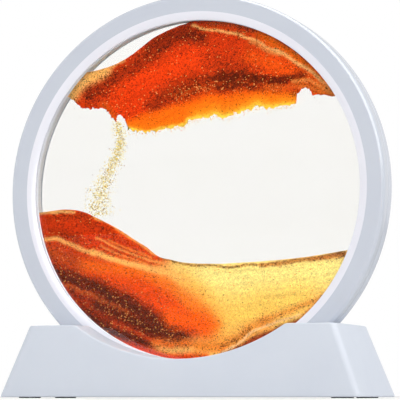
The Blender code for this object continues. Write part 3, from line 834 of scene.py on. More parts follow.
@dataclass
class RoundFrame:
    """The two half rings that close round the glass cell, and the plug of the filling port.

    Depths are counted from the seam between the halves. The inner bevel is a ramp with a slight
    bulge, so that it shades off from one edge to the other. Its faces are painted lighter than the
    rest of the ring, a painted highlight for the light that the bevel catches.
    """

    rim_radius: float = 90.0 * MM
    window_radius: float = 78.3 * MM
    pocket_radius: float = 84.3 * MM
    half_thickness: float = 8.0 * MM
    bevel_width: float = 3.7 * MM
    lip_underside: float = 5.7 * MM
    lip_thickness: float = 0.8 * MM
    bevel_bulge: float = 0.14 * MM
    bevel_steps: int = 8
    rim_rounding: float = 1.6 * MM
    half_rim_flat: float = 5.5 * MM
    half_seam: float = 0.15 * MM
    tongue_middle: float = 87.15 * MM
    tongue_thickness: float = 1.4 * MM
    tongue_height: float = 1.6 * MM
    fit_gap: float = 0.3 * MM
    lip_rounding: float = 0.15 * MM
    window_rounding: float = 0.30 * MM
    bevel_rounding: float = 0.25 * MM
    seam_rounding: float = 0.20 * MM
    steps_round: int = 288
    rounding_steps: int = 14
    head_bore_radius: float = 3.3 * MM
    head_radius: float = 3.0 * MM
    head_top: float = 89.6 * MM
    head_height: float = 4.5 * MM
    stem_radius: float = 1.2 * MM
    stem_end: float = 79.5 * MM
    dimple_radius: float = 0.8 * MM
    dimple_rim: float = 1.1 * MM
    dimple_depth: float = 0.5 * MM

    def section(self, side: Side) -> list[Point]:
        """Section of one half.

        Args:
            side: The front half has the tongue, and the rear half the groove.

        Returns:
            Radius and depth of each point, with the depth counted outwards from the seam.
        """
        has_tongue = side is Side.FRONT
        half_width = self.tongue_thickness / 2 + (0.0 if has_tongue else self.fit_gap)
        reach = self.half_seam + (-self.tongue_height if has_tongue else self.tongue_height)
        lip = self.lip_underside + self.lip_thickness
        face = self.half_thickness
        centre = self.rim_radius - self.rim_rounding
        corners: list[Corner] = [
            (self.window_radius, self.lip_underside, self.lip_rounding),
            (self.window_radius, lip, self.window_rounding),
        ]
        run, rise = self.bevel_width, face - lip
        length = math.hypot(run, rise)
        for step in range(1, self.bevel_steps):
            t = step / self.bevel_steps
            out = 4.0 * self.bevel_bulge * t * (1.0 - t) / length
            radius = self.window_radius + run * t - rise * out
            corners.append((radius, lip + rise * t + run * out, 0.0))
        corners.append((self.window_radius + run, face, self.bevel_rounding))
        for step in range(self.rounding_steps + 1):
            angle = math.pi / 2 * (1 - step / self.rounding_steps)
            radius = centre + self.rim_rounding * math.cos(angle)
            depth = self.half_rim_flat + (face - self.half_rim_flat) * math.sin(angle)
            corners.append((radius, depth, 0.0))
        corners += [
            (self.rim_radius, self.half_seam, self.seam_rounding),
            (self.tongue_middle + half_width, self.half_seam, 0.0),
            (self.tongue_middle + half_width, reach, 0.0),
            (self.tongue_middle - half_width, reach, 0.0),
            (self.tongue_middle - half_width, self.half_seam, 0.0),
            (self.pocket_radius, self.half_seam, 0.0),
            (self.pocket_radius, self.lip_underside, 0.0),
        ]
        return rounded(corners)

    def build_half(self, side: Side, finishes: Finishes) -> Piece:
        """Builds one half ring.

        Args:
            side: Which half.
            finishes: The object's finishes.

        Returns:
            The half ring.
        """
        word = side.name.lower()
        points = [
            Vector((radius, side.value * depth, AXIS_HEIGHT))
            for radius, depth in self.section(side)
        ]
        half = Bench.outline(f"{word}_ring", points)
        Bench.spin(half, self.steps_round, DISC_CENTRE, BACKWARDS)
        down = Vector((0.0, 0.0, -1.0))
        bore = Bench.cylinder(
            "head_bore", self.head_bore_radius, DISC_CENTRE + down * (self.pocket_radius - 1 * MM),
            DISC_CENTRE + down * (self.rim_radius + 4 * MM), 64,
        )
        Bench.cut(half, bore)
        # The faces of the inner bevel and lip get a lighter copy of the ring's plastic, as a painted
        # highlight
        for finish in (finishes.frame, finishes.bevel):
            half.data.materials.append(finish)
        bevel_end = self.window_radius + self.bevel_width
        for face in half.data.polygons:
            middle = face.center - DISC_CENTRE
            radius = math.hypot(middle.x, middle.z)
            if radius < bevel_end and abs(middle.y) > self.lip_underside + 0.1 * MM:
                face.material_index = 1
        return dress(half, Body.DISC, [f"{word}_bezel"], finishes.frame, 15.0)

    def build_plug(self, finishes: Finishes) -> Piece:
        """Builds the rubber plug, with the dimple that a filling needle leaves.

        Args:
            finishes: The object's finishes.

        Returns:
            The plug.
        """
        bottom = self.head_top - self.head_height
        corners: list[Corner] = [
            (0.0, self.head_top - self.dimple_depth, 0.0),
            (self.dimple_radius, self.head_top - self.dimple_depth, 0.2 * MM),
            (self.dimple_rim, self.head_top, 0.2 * MM),
            (self.head_radius, self.head_top, 0.5 * MM),
            (self.head_radius, bottom, 0.2 * MM),
            (self.stem_radius, bottom, 0.2 * MM),
            (self.stem_radius, self.stem_end, 0.3 * MM),
            (0.0, self.stem_end, 0.0),
        ]
        points = [Vector((radius, 0.0, AXIS_HEIGHT - out)) for radius, out in rounded(corners)]
        plug = Bench.turned("rubber_filler_plug", points, 48, DISC_CENTRE)
        return dress(plug, Body.DISC, ["filler_plug"], finishes.plug)

    def build(self, finishes: Finishes) -> list[Piece]:
        """Builds both halves and the plug, and returns them."""
        halves = [self.build_half(side, finishes) for side in Side]
        return halves + [self.build_plug(finishes)]


# The stand


@dataclass
class Stand:
    """The trapezoid stand with its slot and arc, and its underside: cover screws and feet.

    A half size is a half length and a half depth, and a place is the place of one of four.
    """

    bottom: float = 0.5 * MM
    top: float = 33.0 * MM
    half_bottom: Point = (85.0 * MM, 33.0 * MM)
    half_top: Point = (72.5 * MM, 28.0 * MM)
    wall: float = 2.0 * MM
    corner_radius: float = 3.0 * MM
    edge_radius: float = 0.8 * MM
    arc_radius: float = 87.0 * MM
    arc_lowest: float = 17.5 * MM
    arc_lip: float = 4.0 * MM
    half_slot: float = 9.0 * MM
    trough_radius: float = 90.3 * MM
    cover_room: float = 3.1 * MM
    arc_steps: int = 96
    lip_steps: int = 10
    screw_place: Point = (62.0 * MM, 21.0 * MM)
    screw_head_radius: float = 2.9 * MM
    screw_head_height: float = 0.9 * MM
    screw_radius: float = 1.2 * MM
    screw_tip: float = 1.6 * MM
    half_slit: Point = (1.7 * MM, 0.28 * MM)
    slit_depth: float = 0.65 * MM
    pilot_radius: float = 1.5 * MM
    pilot_top: float = 11.4 * MM
    foot_place: Point = (74.0 * MM, 22.0 * MM)
    foot_radius: float = 5.0 * MM
    groove_edges: tuple[float, ...] = (3.6 * MM, 3.3 * MM, 2.7 * MM, 2.4 * MM)
    groove_depth: float = 0.3 * MM

    def half_size(self, height: float, inset: float = 0.0) -> Point:
        """Half length and half depth of the taper at a height.

        Args:
            height: The height.
            inset: How far the skin lies inside the stand's own.

        Returns:
            The half length and the half depth.
        """
        rise = self.top - self.bottom
        share = (height - self.bottom) / rise
        x, y = (
            low + (high - low) * share - inset * math.hypot(1.0, (low - high) / rise)
            for low, high in zip(self.half_bottom, self.half_top)
        )
        return (x, y)

    def tapered_block(
        self, name: str, bottom: float, top: float, inset: float, corner: float, steps: int
    ) -> Piece:
        """A block with the stand's taper.

        Args:
            name: Its name.
            bottom: Its lower height.
            top: Its upper height.
            inset: How far it lies inside the stand's skin.
            corner: The radius of its upright edges.
            steps: Faces round each upright edge.

        Returns:
            The block.
        """
        half_x, half_y = self.half_size(bottom, inset)
        top_x, top_y = self.half_size(top, inset)
        block = Bench.box(name, Vector((-half_x, -half_y, bottom)), Vector((half_x, half_y, top)))
        middle = (bottom + top) / 2

        def is_upright(edge: bmesh.types.BMEdge) -> bool:
            """Says whether an edge leads from the lower face to the upper one."""
            low, high = sorted(vert.co.z for vert in edge.verts)
            return low < middle < high

        with Bench.editing(block, "FACE"):
            Bench.pick(block, "FACE", lambda f: f.normal.z > 0.9)
            bpy.ops.transform.resize(value=(top_x / half_x, top_y / half_y, 1.0))
            Bench.pick(block, "EDGE", is_upright)
            bpy.ops.mesh.bevel(offset=corner, segments=steps, affect="EDGES")
        return block

    def arc_tool(self) -> Piece:
        """Builds the body that cuts the arc, with its rounded lips, through the whole depth.

        Returns:
            The tool body.
        """
        centre = self.arc_lowest + self.arc_radius
        reach = self.arc_radius + self.arc_lip
        lip_x = math.sqrt(reach ** 2 - (centre - (self.top - self.arc_lip)) ** 2)
        lip_angle = math.asin(lip_x / reach)
        right: list[Point] = []
        for step in range(self.arc_steps + 1):
            angle = lip_angle * step / self.arc_steps
            across = self.arc_radius * math.sin(angle)
            right.append((across, centre - self.arc_radius * math.cos(angle)))
        for step in range(1, self.lip_steps + 1):
            angle = lip_angle * (1 - step / self.lip_steps)
            right.append((
                lip_x - self.arc_lip * math.sin(angle),
                self.top - self.arc_lip + self.arc_lip * math.cos(angle),
            ))
        right.append((lip_x, self.top + 10 * MM))
        outline = [(-x, z) for x, z in right[:0:-1]] + right
        depth = self.half_bottom[1] + 5 * MM
        tool = Bench.outline("arc_tool", [Vector((x, -depth, z)) for x, z in outline])
        with Bench.editing(tool):
            bpy.ops.mesh.select_all(action="SELECT")
            bpy.ops.mesh.edge_face_add()
            Bench.thicken(2 * depth)
        return tool

    def build_body(self, finishes: Finishes) -> Piece:
        """Builds the moulded body, with its arc, slot and hollow underside.

        Args:
            finishes: The object's finishes.

        Returns:
            The body.
        """
        body = self.tapered_block("stand_body", self.bottom, self.top, 0.0, self.corner_radius, 8)
        Bench.cut(body, self.arc_tool())
        across = Vector((0.0, self.half_slot, 0.0))
        slot = Bench.cylinder(
            "slot_tool", self.trough_radius, DISC_CENTRE - across, DISC_CENTRE + across, 264
        )
        Bench.cut(body, slot)
        Bench.round_edges(body, self.edge_radius, 4, 40.0)
        pocket = self.tapered_block(
            "pocket_tool", -5 * MM, self.cover_room, self.wall, self.corner_radius - self.wall, 4
        )
        Bench.cut(body, pocket)
        for x, y in self.four(self.screw_place):
            start, end = Vector((x, y, 0.0)), Vector((x, y, self.pilot_top))
            pilot = Bench.cylinder("pilot_tool", self.pilot_radius, start, end, 24)
            Bench.cut(body, pilot)
        return dress(body, Body.STAND, ["stand_shell"], finishes.stand)

    @staticmethod
    def four(place: Point) -> list[Point]:
        """The four places of a fastener or foot, in the order of the CAD nodes."""
        return [(sx * place[0], sy * place[1]) for sx in (-1, 1) for sy in (-1, 1)]

    def in_fours(
        self, first: Piece, place: Point, node: str, finish: Material
    ) -> list[Piece]:
        """Copies a piece to its four places, and drops the first one.

        Args:
            first: The piece, modelled at the middle of the stand.
            place: One of its places.
            node: The CAD nodes' name, without its number.
            finish: Its material.

        Returns:
            The four copies, in the order of the CAD nodes.
        """
        copies = []
        for index, (x, y) in enumerate(self.four(place), start=1):
            twin = Bench.copy(first, f"{first.name}_{index}", Vector((x, y, 0.0)))
            copies.append(dress(twin, Body.STAND, [f"{node}_{index}"], finish))
        bpy.data.objects.remove(first)
        return copies

    def build_screws(self, finishes: Finishes) -> list[Piece]:
        """Builds the four cross-recessed screws, modelled once and copied.

        Args:
            finishes: The object's finishes.

        Returns:
            The screws.
        """
        low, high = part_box("cover_screw_1")
        head_top = low.z + self.screw_head_height
        corners: list[Corner] = [
            (0.0, high.z, 0.0),
            (self.screw_radius, high.z - self.screw_tip, 0.2 * MM),
            (self.screw_radius, head_top, 0.1 * MM),
            (self.screw_head_radius, head_top, 0.1 * MM),
            (self.screw_head_radius, low.z, 0.5 * MM),
            (0.0, low.z, 0.0),
        ]
        points = [Vector((radius, 0.0, z)) for radius, z in rounded(corners)]
        first = Bench.turned("cross_screw", points, 40)
        for half_x, half_y in (self.half_slit, self.half_slit[::-1]):
            start = Vector((-half_x, -half_y, low.z - 1 * MM))
            end = Vector((half_x, half_y, low.z + self.slit_depth))
            Bench.cut(first, Bench.box("slit", start, end))
        return self.in_fours(first, self.screw_place, "cover_screw", finishes.steel)

    def build_feet(self, finishes: Finishes) -> list[Piece]:
        """Builds the four rubber feet, each with a round tread groove, modelled once and copied.

        Args:
            finishes: The object's finishes.

        Returns:
            The feet.
        """
        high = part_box("stand_foot_1")[1].z
        heights = (0.0, self.groove_depth, self.groove_depth, 0.0)
        corners: list[Corner] = [
            (0.0, high, 0.0),
            (self.foot_radius, high, 0.1 * MM),
            (self.foot_radius, 0.0, 0.35 * MM),
            *((radius, z, 0.1 * MM) for radius, z in zip(self.groove_edges, heights)),
            (0.0, 0.0, 0.0),
        ]
        points = [Vector((radius, 0.0, z)) for radius, z in rounded(corners, 4)]
        first = Bench.turned("round_foot", points, 48)
        return self.in_fours(first, self.foot_place, "stand_foot", finishes.foot)

    def build(self, finishes: Finishes) -> list[Piece]:
        """Builds the body, the screws and the feet, and returns them."""
        return [self.build_body(finishes), *self.build_screws(finishes), *self.build_feet(finishes)]


# The sand


def paint_distance(places: np.ndarray, path: np.ndarray) -> np.ndarray:
    """Distance from each place to an open line.

    Args:
        places: Places in millimetres, one row each.
        path: The line's points in millimetres.

    Returns:
        One distance for each place.
    """
    nearest = np.full(len(places), np.inf)
    for start, end in zip(path, path[1:]):
        along = end - start
        share = np.clip((places - start) @ along / max(along @ along, 1e-9), 0.0, 1.0)
        gap = places - start - share[:, None] * along
        nearest = np.minimum(nearest, np.hypot(gap[:, 0], gap[:, 1]))
    return nearest


def inside_outline(places: np.ndarray, outline: np.ndarray) -> np.ndarray:
    """Says of each place whether it lies inside a closed outline.

    Args:
        places: Places in millimetres, one row each.
        outline: The outline's points in millimetres.

    Returns:
        True or False for each place.
    """
    inside = np.zeros(len(places), bool)
    x, y = places[:, 0], places[:, 1]
    for (x0, y0), (x1, y1) in zip(outline, np.roll(outline, -1, axis=0)):
        if y0 == y1:
            continue
        crosses = (y0 > y) != (y1 > y)
        inside ^= crosses & (x < (x1 - x0) * (y - y0) / (y1 - y0) + x0)
    return inside


# What the pane does to the sand's colour: the share that comes straight back, and the share that it
# throws on to the sand once more
SEEN_AT_ONCE = 0.746
THROWN_BACK = 0.255


def as_dyed(seen: np.ndarray) -> np.ndarray:
    """The dye's own colours, from the colours that the sand shows behind the pane.

    Light that the pane throws back on to the sand is dyed again, which deepens the colour.

    Args:
        seen: Linear colours with alpha, one row each.

    Returns:
        Linear base colours with alpha.
    """
    dyed = seen / (SEEN_AT_ONCE + THROWN_BACK * seen)
    dyed[:, 3] = 1.0
    return np.clip(dyed, 0.0, 1.0)


@dataclass(frozen=True)
class EdgeRun:
    """A run of a sand mass's outline, in millimetres about the disc's centre.

    Attributes:
        points: The run's points.
        ragged: How far loose grains push it about, in millimetres.
        clump: The size of the clumps that push it, in millimetres.
        curved: Whether it is a smooth curve through the points.
    """

    points: tuple[Point, ...]
    ragged: float = 0.08
    clump: float = 3.0
    curved: bool = True

    def laid_out(self, spacing: float = 0.15) -> np.ndarray:
        """Lays the run out as close points, pushed about by its clumps.

        Args:
            spacing: How far apart the points lie, in millimetres.

        Returns:
            The points in millimetres, one row each.
        """
        points = [Vector((x, y)) for x, y in self.points]
        path: list[Vector] = []
        last = len(points) - 1
        for i in range(last):
            before, start = points[max(i - 1, 0)], points[i]
            end, after = points[i + 1], points[min(i + 2, last)]
            count = max(2, round((end - start).length / spacing))
            for k in range(count):
                t = k / count
                if self.curved:
                    path.append(0.5 * (
                        2 * start + (end - before) * t
                        + (2 * before - 5 * start + 4 * end - after) * t * t
                        + (3 * start - 3 * end + after - before) * t ** 3
                    ))
                else:
                    path.append(start.lerp(end, t))
        path.append(points[-1])
        pushed = []
        for i, here in enumerate(path):
            along = (path[min(i + 1, len(path) - 1)] - path[max(i - 1, 0)]).normalized()
            seed = Vector((here.x / self.clump, here.y / self.clump, 0.0))
            push = noise.fractal(seed, 0.6, 2.1, 4) * self.ragged
            pushed.append(here + Vector((-along.y, along.x)) * push)
        return np.array([tuple(p) for p in pushed])


def round_outside(start: Point, end: Point, radius: float = 90.0) -> EdgeRun:
    """A run that leads clockwise past the cell's rim.

    Args:
        start: The point beside which it starts.
        end: The point beside which it ends.
        radius: How far out it runs, in millimetres.

    Returns:
        The run.
    """
    first = math.atan2(start[1], start[0])
    sweep = (first - math.atan2(end[1], end[0])) % math.tau
    steps = max(2, math.ceil(sweep / math.radians(4.0)))
    angles = [first - sweep * step / steps for step in range(1, steps)]
    points = tuple((radius * math.cos(a), radius * math.sin(a)) for a in angles)
    return EdgeRun(points, 0.0, curved=False)


@dataclass(frozen=True)
class Streak:
    """A streak of sand, laid along a line.

    Attributes:
        path: Its line, in millimetres about the disc's centre.
        width: Where it fades to a half, in millimetres from the line.
        colour: Its tint, or nothing where it only brings grains.
        strength: How much of it there is on the line.
        dark: Its share of dark grains, or None to leave that.
        pale: Its share of pale grains, or None to leave that.
        edge: How sharp its edge is: 2 is soft and 6 is crisp.
    """

    path: tuple[Point, ...]
    width: float
    colour: str = ""
    strength: float = 1.0
    dark: float | None = None
    pale: float | None = None
    edge: float = 2.0

    def weight(self, places: np.ndarray) -> np.ndarray:
        """Says how much of the streak there is at each place in millimetres, from 0 to 1."""
        distance = paint_distance(places, np.array(self.path))
        return self.strength * np.exp(-math.log(2.0) * (distance / self.width) ** self.edge)


@dataclass(frozen=True)
class Patch:
    """A broad area of sand, filled to a closed outline with a soft edge.

    Attributes:
        outline: Its outline, in millimetres about the disc's centre.
        softness: Half the width of its soft edge, in millimetres.
        colour: Its tint.
        dark: Its share of dark grains, or None to leave that.
        pale: Its share of pale grains, or None to leave that.
    """

    outline: tuple[Point, ...]
    softness: float
    colour: str
    dark: float | None = None
    pale: float | None = None

    def weight(self, places: np.ndarray) -> np.ndarray:
        """Says how much of the area's sand there is.

        Args:
            places: Places in millimetres, one row each.

        Returns:
            A share from 0 to 1 for each place.
        """
        shape = np.array(self.outline)
        closed = np.vstack([shape, shape[:1]])
        distance = paint_distance(places, closed)
        signed = np.where(inside_outline(places, shape), distance, -distance)
        share = np.clip(signed / self.softness * 0.5 + 0.5, 0.0, 1.0)
        return share * share * (3.0 - 2.0 * share)


@dataclass
class SandMass:
    """A body of sand pressed between the panes.

    Attributes:
        name: The piece's name.
        nodes: The CAD nodes that it stands for.
        slot: The record's material slot. It is not used.
        runs: Its outline, clockwise.
        base: Its ground tint.
        layers: Areas and streaks, laid one on the other.
        flow: A line that its fine streaks run along.
        base_dark: Its share of dark grains.
        base_pale: Its share of pale grains.
        cell: The size of the cells that it is built from, in millimetres.
        reach: Its largest radius, in millimetres.
        half_depth: Half its thickness.
        lean: How far its rear face lies to the right and up of its front face, in millimetres.
        broad_wander: How far its layers wander, and over what length, both in millimetres.
        fine_wander: The same for their fine edges.
        seed: The seed of both, without which each run would draw its own.
        wash: How far apart its fine streaks lie and how long they are, in millimetres.
        wash_tint: How much they change the tint.
        wash_dark: How much they change the share of dark grains.
    """

    name: str
    nodes: tuple[str, ...]
    slot: str
    runs: tuple[EdgeRun, ...]
    base: str
    layers: tuple[Patch | Streak, ...]
    flow: tuple[Point, ...]
    base_dark: float = 0.06
    base_pale: float = 0.01
    cell: float = 0.5
    reach: float = 79.1
    half_depth: float = 2.15 * MM
    lean: Point = (-1.25, 0.0)
    broad_wander: Point = (1.1, 9.0)
    fine_wander: Point = (0.35, 2.2)
    seed: int = 5
    wash: Point = (1.1, 26.0)
    wash_tint: float = 0.16
    wash_dark: float = 0.9

    def outline(self) -> np.ndarray:
        """Lays the whole outline out in millimetres, trimmed to the cell, one row a point."""
        path = np.vstack([run.laid_out() for run in self.runs])
        radius = np.hypot(path[:, 0], path[:, 1])
        return path * np.minimum(1.0, self.reach / radius)[:, None]

    def filled_cells(
        self, columns: int, rows: int, low: np.ndarray, shape: np.ndarray
    ) -> np.ndarray:
        """Which cells of the grid hold sand.

        Args:
            columns: Cells across.
            rows: Cells up.
            low: The grid's lowest corner.
            shape: The outline.

        Returns:
            A table of columns by rows, as one mass with no cells that touch only at a corner.
        """
        x = low[0] + (np.arange(columns) + 0.5) * self.cell
        y = low[1] + (np.arange(rows) + 0.5) * self.cell
        places = np.stack(np.meshgrid(x, y, indexing="ij"), axis=-1).reshape(-1, 2)
        filled = inside_outline(places, shape).reshape(columns, rows)
        for _ in range(4):
            a, b, c, d = filled[:-1, :-1], filled[1:, :-1], filled[:-1, 1:], filled[1:, 1:]
            slant = a & d & ~b & ~c
            other = b & c & ~a & ~d
            filled[1:, :-1] |= slant
            filled[:-1, :-1] |= other
        whole = np.zeros_like(filled)
        seed = np.argwhere(filled)[len(np.argwhere(filled)) // 2]
        whole[tuple(seed)] = True
        while True:
            grown = whole.copy()
            grown[1:, :] |= whole[:-1, :]
            grown[:-1, :] |= whole[1:, :]
            grown[:, 1:] |= whole[:, :-1]
            grown[:, :-1] |= whole[:, 1:]
            grown &= filled
            if (grown == whole).all():
                return whole
            whole = grown

    def build(self, finishes: Finishes) -> Piece:
        """Builds the mass as a grid, cut to its outline, coloured, and given a thickness.

        Args:
            finishes: The object's finishes.

        Returns:
            The mass.
        """
        shape = self.outline()
        low = shape.min(axis=0) - self.cell
        span = shape.max(axis=0) + self.cell - low
        columns, rows = (int(math.ceil(s / self.cell)) for s in span)
        bpy.ops.object.select_all(action="DESELECT")
        bpy.ops.mesh.primitive_grid_add(x_subdivisions=columns, y_subdivisions=rows, size=2.0)
        piece = bpy.context.active_object
        piece.name = self.name
        piece.data.name = self.name
        flat = Bench.read_places(piece)
        grid = np.stack([
            low[0] + (flat[:, 0] + 1) / 2 * columns * self.cell,
            low[1] + (flat[:, 1] + 1) / 2 * rows * self.cell,
        ], axis=1)
        self.move(piece, grid)
        self.drop_empty(piece, self.filled_cells(columns, rows, low, shape), low)
        grid = self.snapped(piece, shape)
        self.move(piece, grid)
        self.colour(piece, grid)
        with Bench.editing(piece, "FACE"):
            Bench.thicken(2 * self.half_depth)
        self.lean_back(piece)
        return dress(piece, Body.DISC, self.nodes, finishes.sand, 60.0)

    def lean_back(self, piece: Piece) -> None:
        """Shifts the rear face, less and less towards the cell's rim, which it stays within.

        Args:
            piece: The mass.
        """
        places = Bench.read_places(piece)
        radius = np.hypot(places[:, 0], places[:, 2] - AXIS_HEIGHT) / MM
        share = (places[:, 1] > 0.0) * (1.0 - np.minimum(1.0, radius / self.reach) ** 8)
        places[:, 0] += share * self.lean[0] * MM
        places[:, 2] += share * self.lean[1] * MM
        Bench.write_places(piece, places)

    def move(self, piece: Piece, grid: np.ndarray) -> None:
        """Puts the piece's vertices at places of the picture, on its front face.

        Args:
            piece: The mass, still a sheet.
            grid: The places in millimetres about the disc's centre, one row each.
        """
        Bench.write_places(piece, np.column_stack([
            grid[:, 0] * MM, np.full(len(grid), -self.half_depth), grid[:, 1] * MM + AXIS_HEIGHT,
        ]))

    def drop_empty(self, piece: Piece, filled: np.ndarray, low: np.ndarray) -> None:
        """Deletes the faces of the grid that hold no sand.

        Args:
            piece: The mass, still a sheet.
            filled: Which cells of the grid hold sand.
            low: The grid's lowest corner.
        """
        def is_empty(face: bmesh.types.BMFace) -> bool:
            """Says whether the cell of a face holds no sand."""
            middle = face.calc_center_median()
            i = int((middle.x / MM - low[0]) / self.cell)
            j = int(((middle.z - AXIS_HEIGHT) / MM - low[1]) / self.cell)
            return not filled[i, j]

        with Bench.editing(piece, "FACE"):
            Bench.pick(piece, "FACE", is_empty)
            bpy.ops.mesh.delete(type="FACE")

    def snapped(self, piece: Piece, shape: np.ndarray) -> np.ndarray:
        """Moves the places on the border on to the outline.

        Args:
            piece: The mass, still a sheet.
            shape: The outline.

        Returns:
            The vertices' places in millimetres about the disc's centre, one row each.
        """
        flat = Bench.read_places(piece)
        grid = np.column_stack([flat[:, 0] / MM, (flat[:, 2] - AXIS_HEIGHT) / MM]).astype(float)
        uses = np.zeros(len(piece.data.edges), int)
        loop_edges = np.zeros(len(piece.data.loops), np.int32)
        piece.data.loops.foreach_get("edge_index", loop_edges)
        np.add.at(uses, loop_edges, 1)
        ends = np.zeros(len(piece.data.edges) * 2, np.int32)
        piece.data.edges.foreach_get("vertices", ends)
        border = np.unique(ends.reshape(-1, 2)[uses == 1])
        for index in border:
            gaps = shape - grid[index]
            grid[index] = shape[np.argmin((gaps ** 2).sum(axis=1))]
        return grid

    def colour(self, piece: Piece, grid: np.ndarray) -> None:
        """Writes the sand's tint and its shares of dark and pale grains to the mesh.

        Args:
            piece: The mass, still a sheet.
            grid: Its vertices' places in millimetres about the disc's centre, one row each.
        """
        warped = grid.copy()
        drift = np.zeros(len(grid))
        (far, wide), (near, narrow) = self.broad_wander, self.fine_wander
        noise.seed_set(self.seed)
        for i, (x, y) in enumerate(grid):
            broad = noise.noise_vector(Vector((x / wide, y / wide, 1.7)))
            fine = noise.noise_vector(Vector((x / narrow, y / narrow, 5.1)))
            warped[i] += (broad.x * far + fine.x * near, broad.y * far + fine.y * near)
        from_flow = paint_distance(warped, np.array(self.flow))
        apart, length = self.wash
        for i, (x, _) in enumerate(grid):
            drift[i] = noise.fractal(Vector((from_flow[i] / apart, x / length, 3.3)), 0.7, 2.0, 3)
        tint = np.tile(np.array(linear(self.base)), (len(grid), 1))
        dark = np.full(len(grid), self.base_dark)
        pale = np.full(len(grid), self.base_pale)
        for layer in self.layers:
            share = layer.weight(warped)
            if layer.colour:
                tint += (np.array(linear(layer.colour)) - tint) * share[:, None]
            if layer.dark is not None:
                dark += (layer.dark - dark) * share
            if layer.pale is not None:
                pale += (layer.pale - pale) * share
        tint[:, :3] *= (1.0 + self.wash_tint * drift)[:, None]
        tint = as_dyed(tint)
        dark *= np.clip(1.0 + self.wash_dark * drift, 0.2, 2.0)
        colours = piece.data.attributes.new("sand_tint", "FLOAT_COLOR", "POINT")
        colours.data.foreach_set("color", np.clip(tint, 0.0, 1.0).astype(np.float32).ravel())
        for name, values in (("dark_share", dark), ("pale_share", pale)):
            share = piece.data.attributes.new(name, "FLOAT", "POINT")
            share.data.foreach_set("value", np.clip(values, 0.0, 0.95).astype(np.float32))


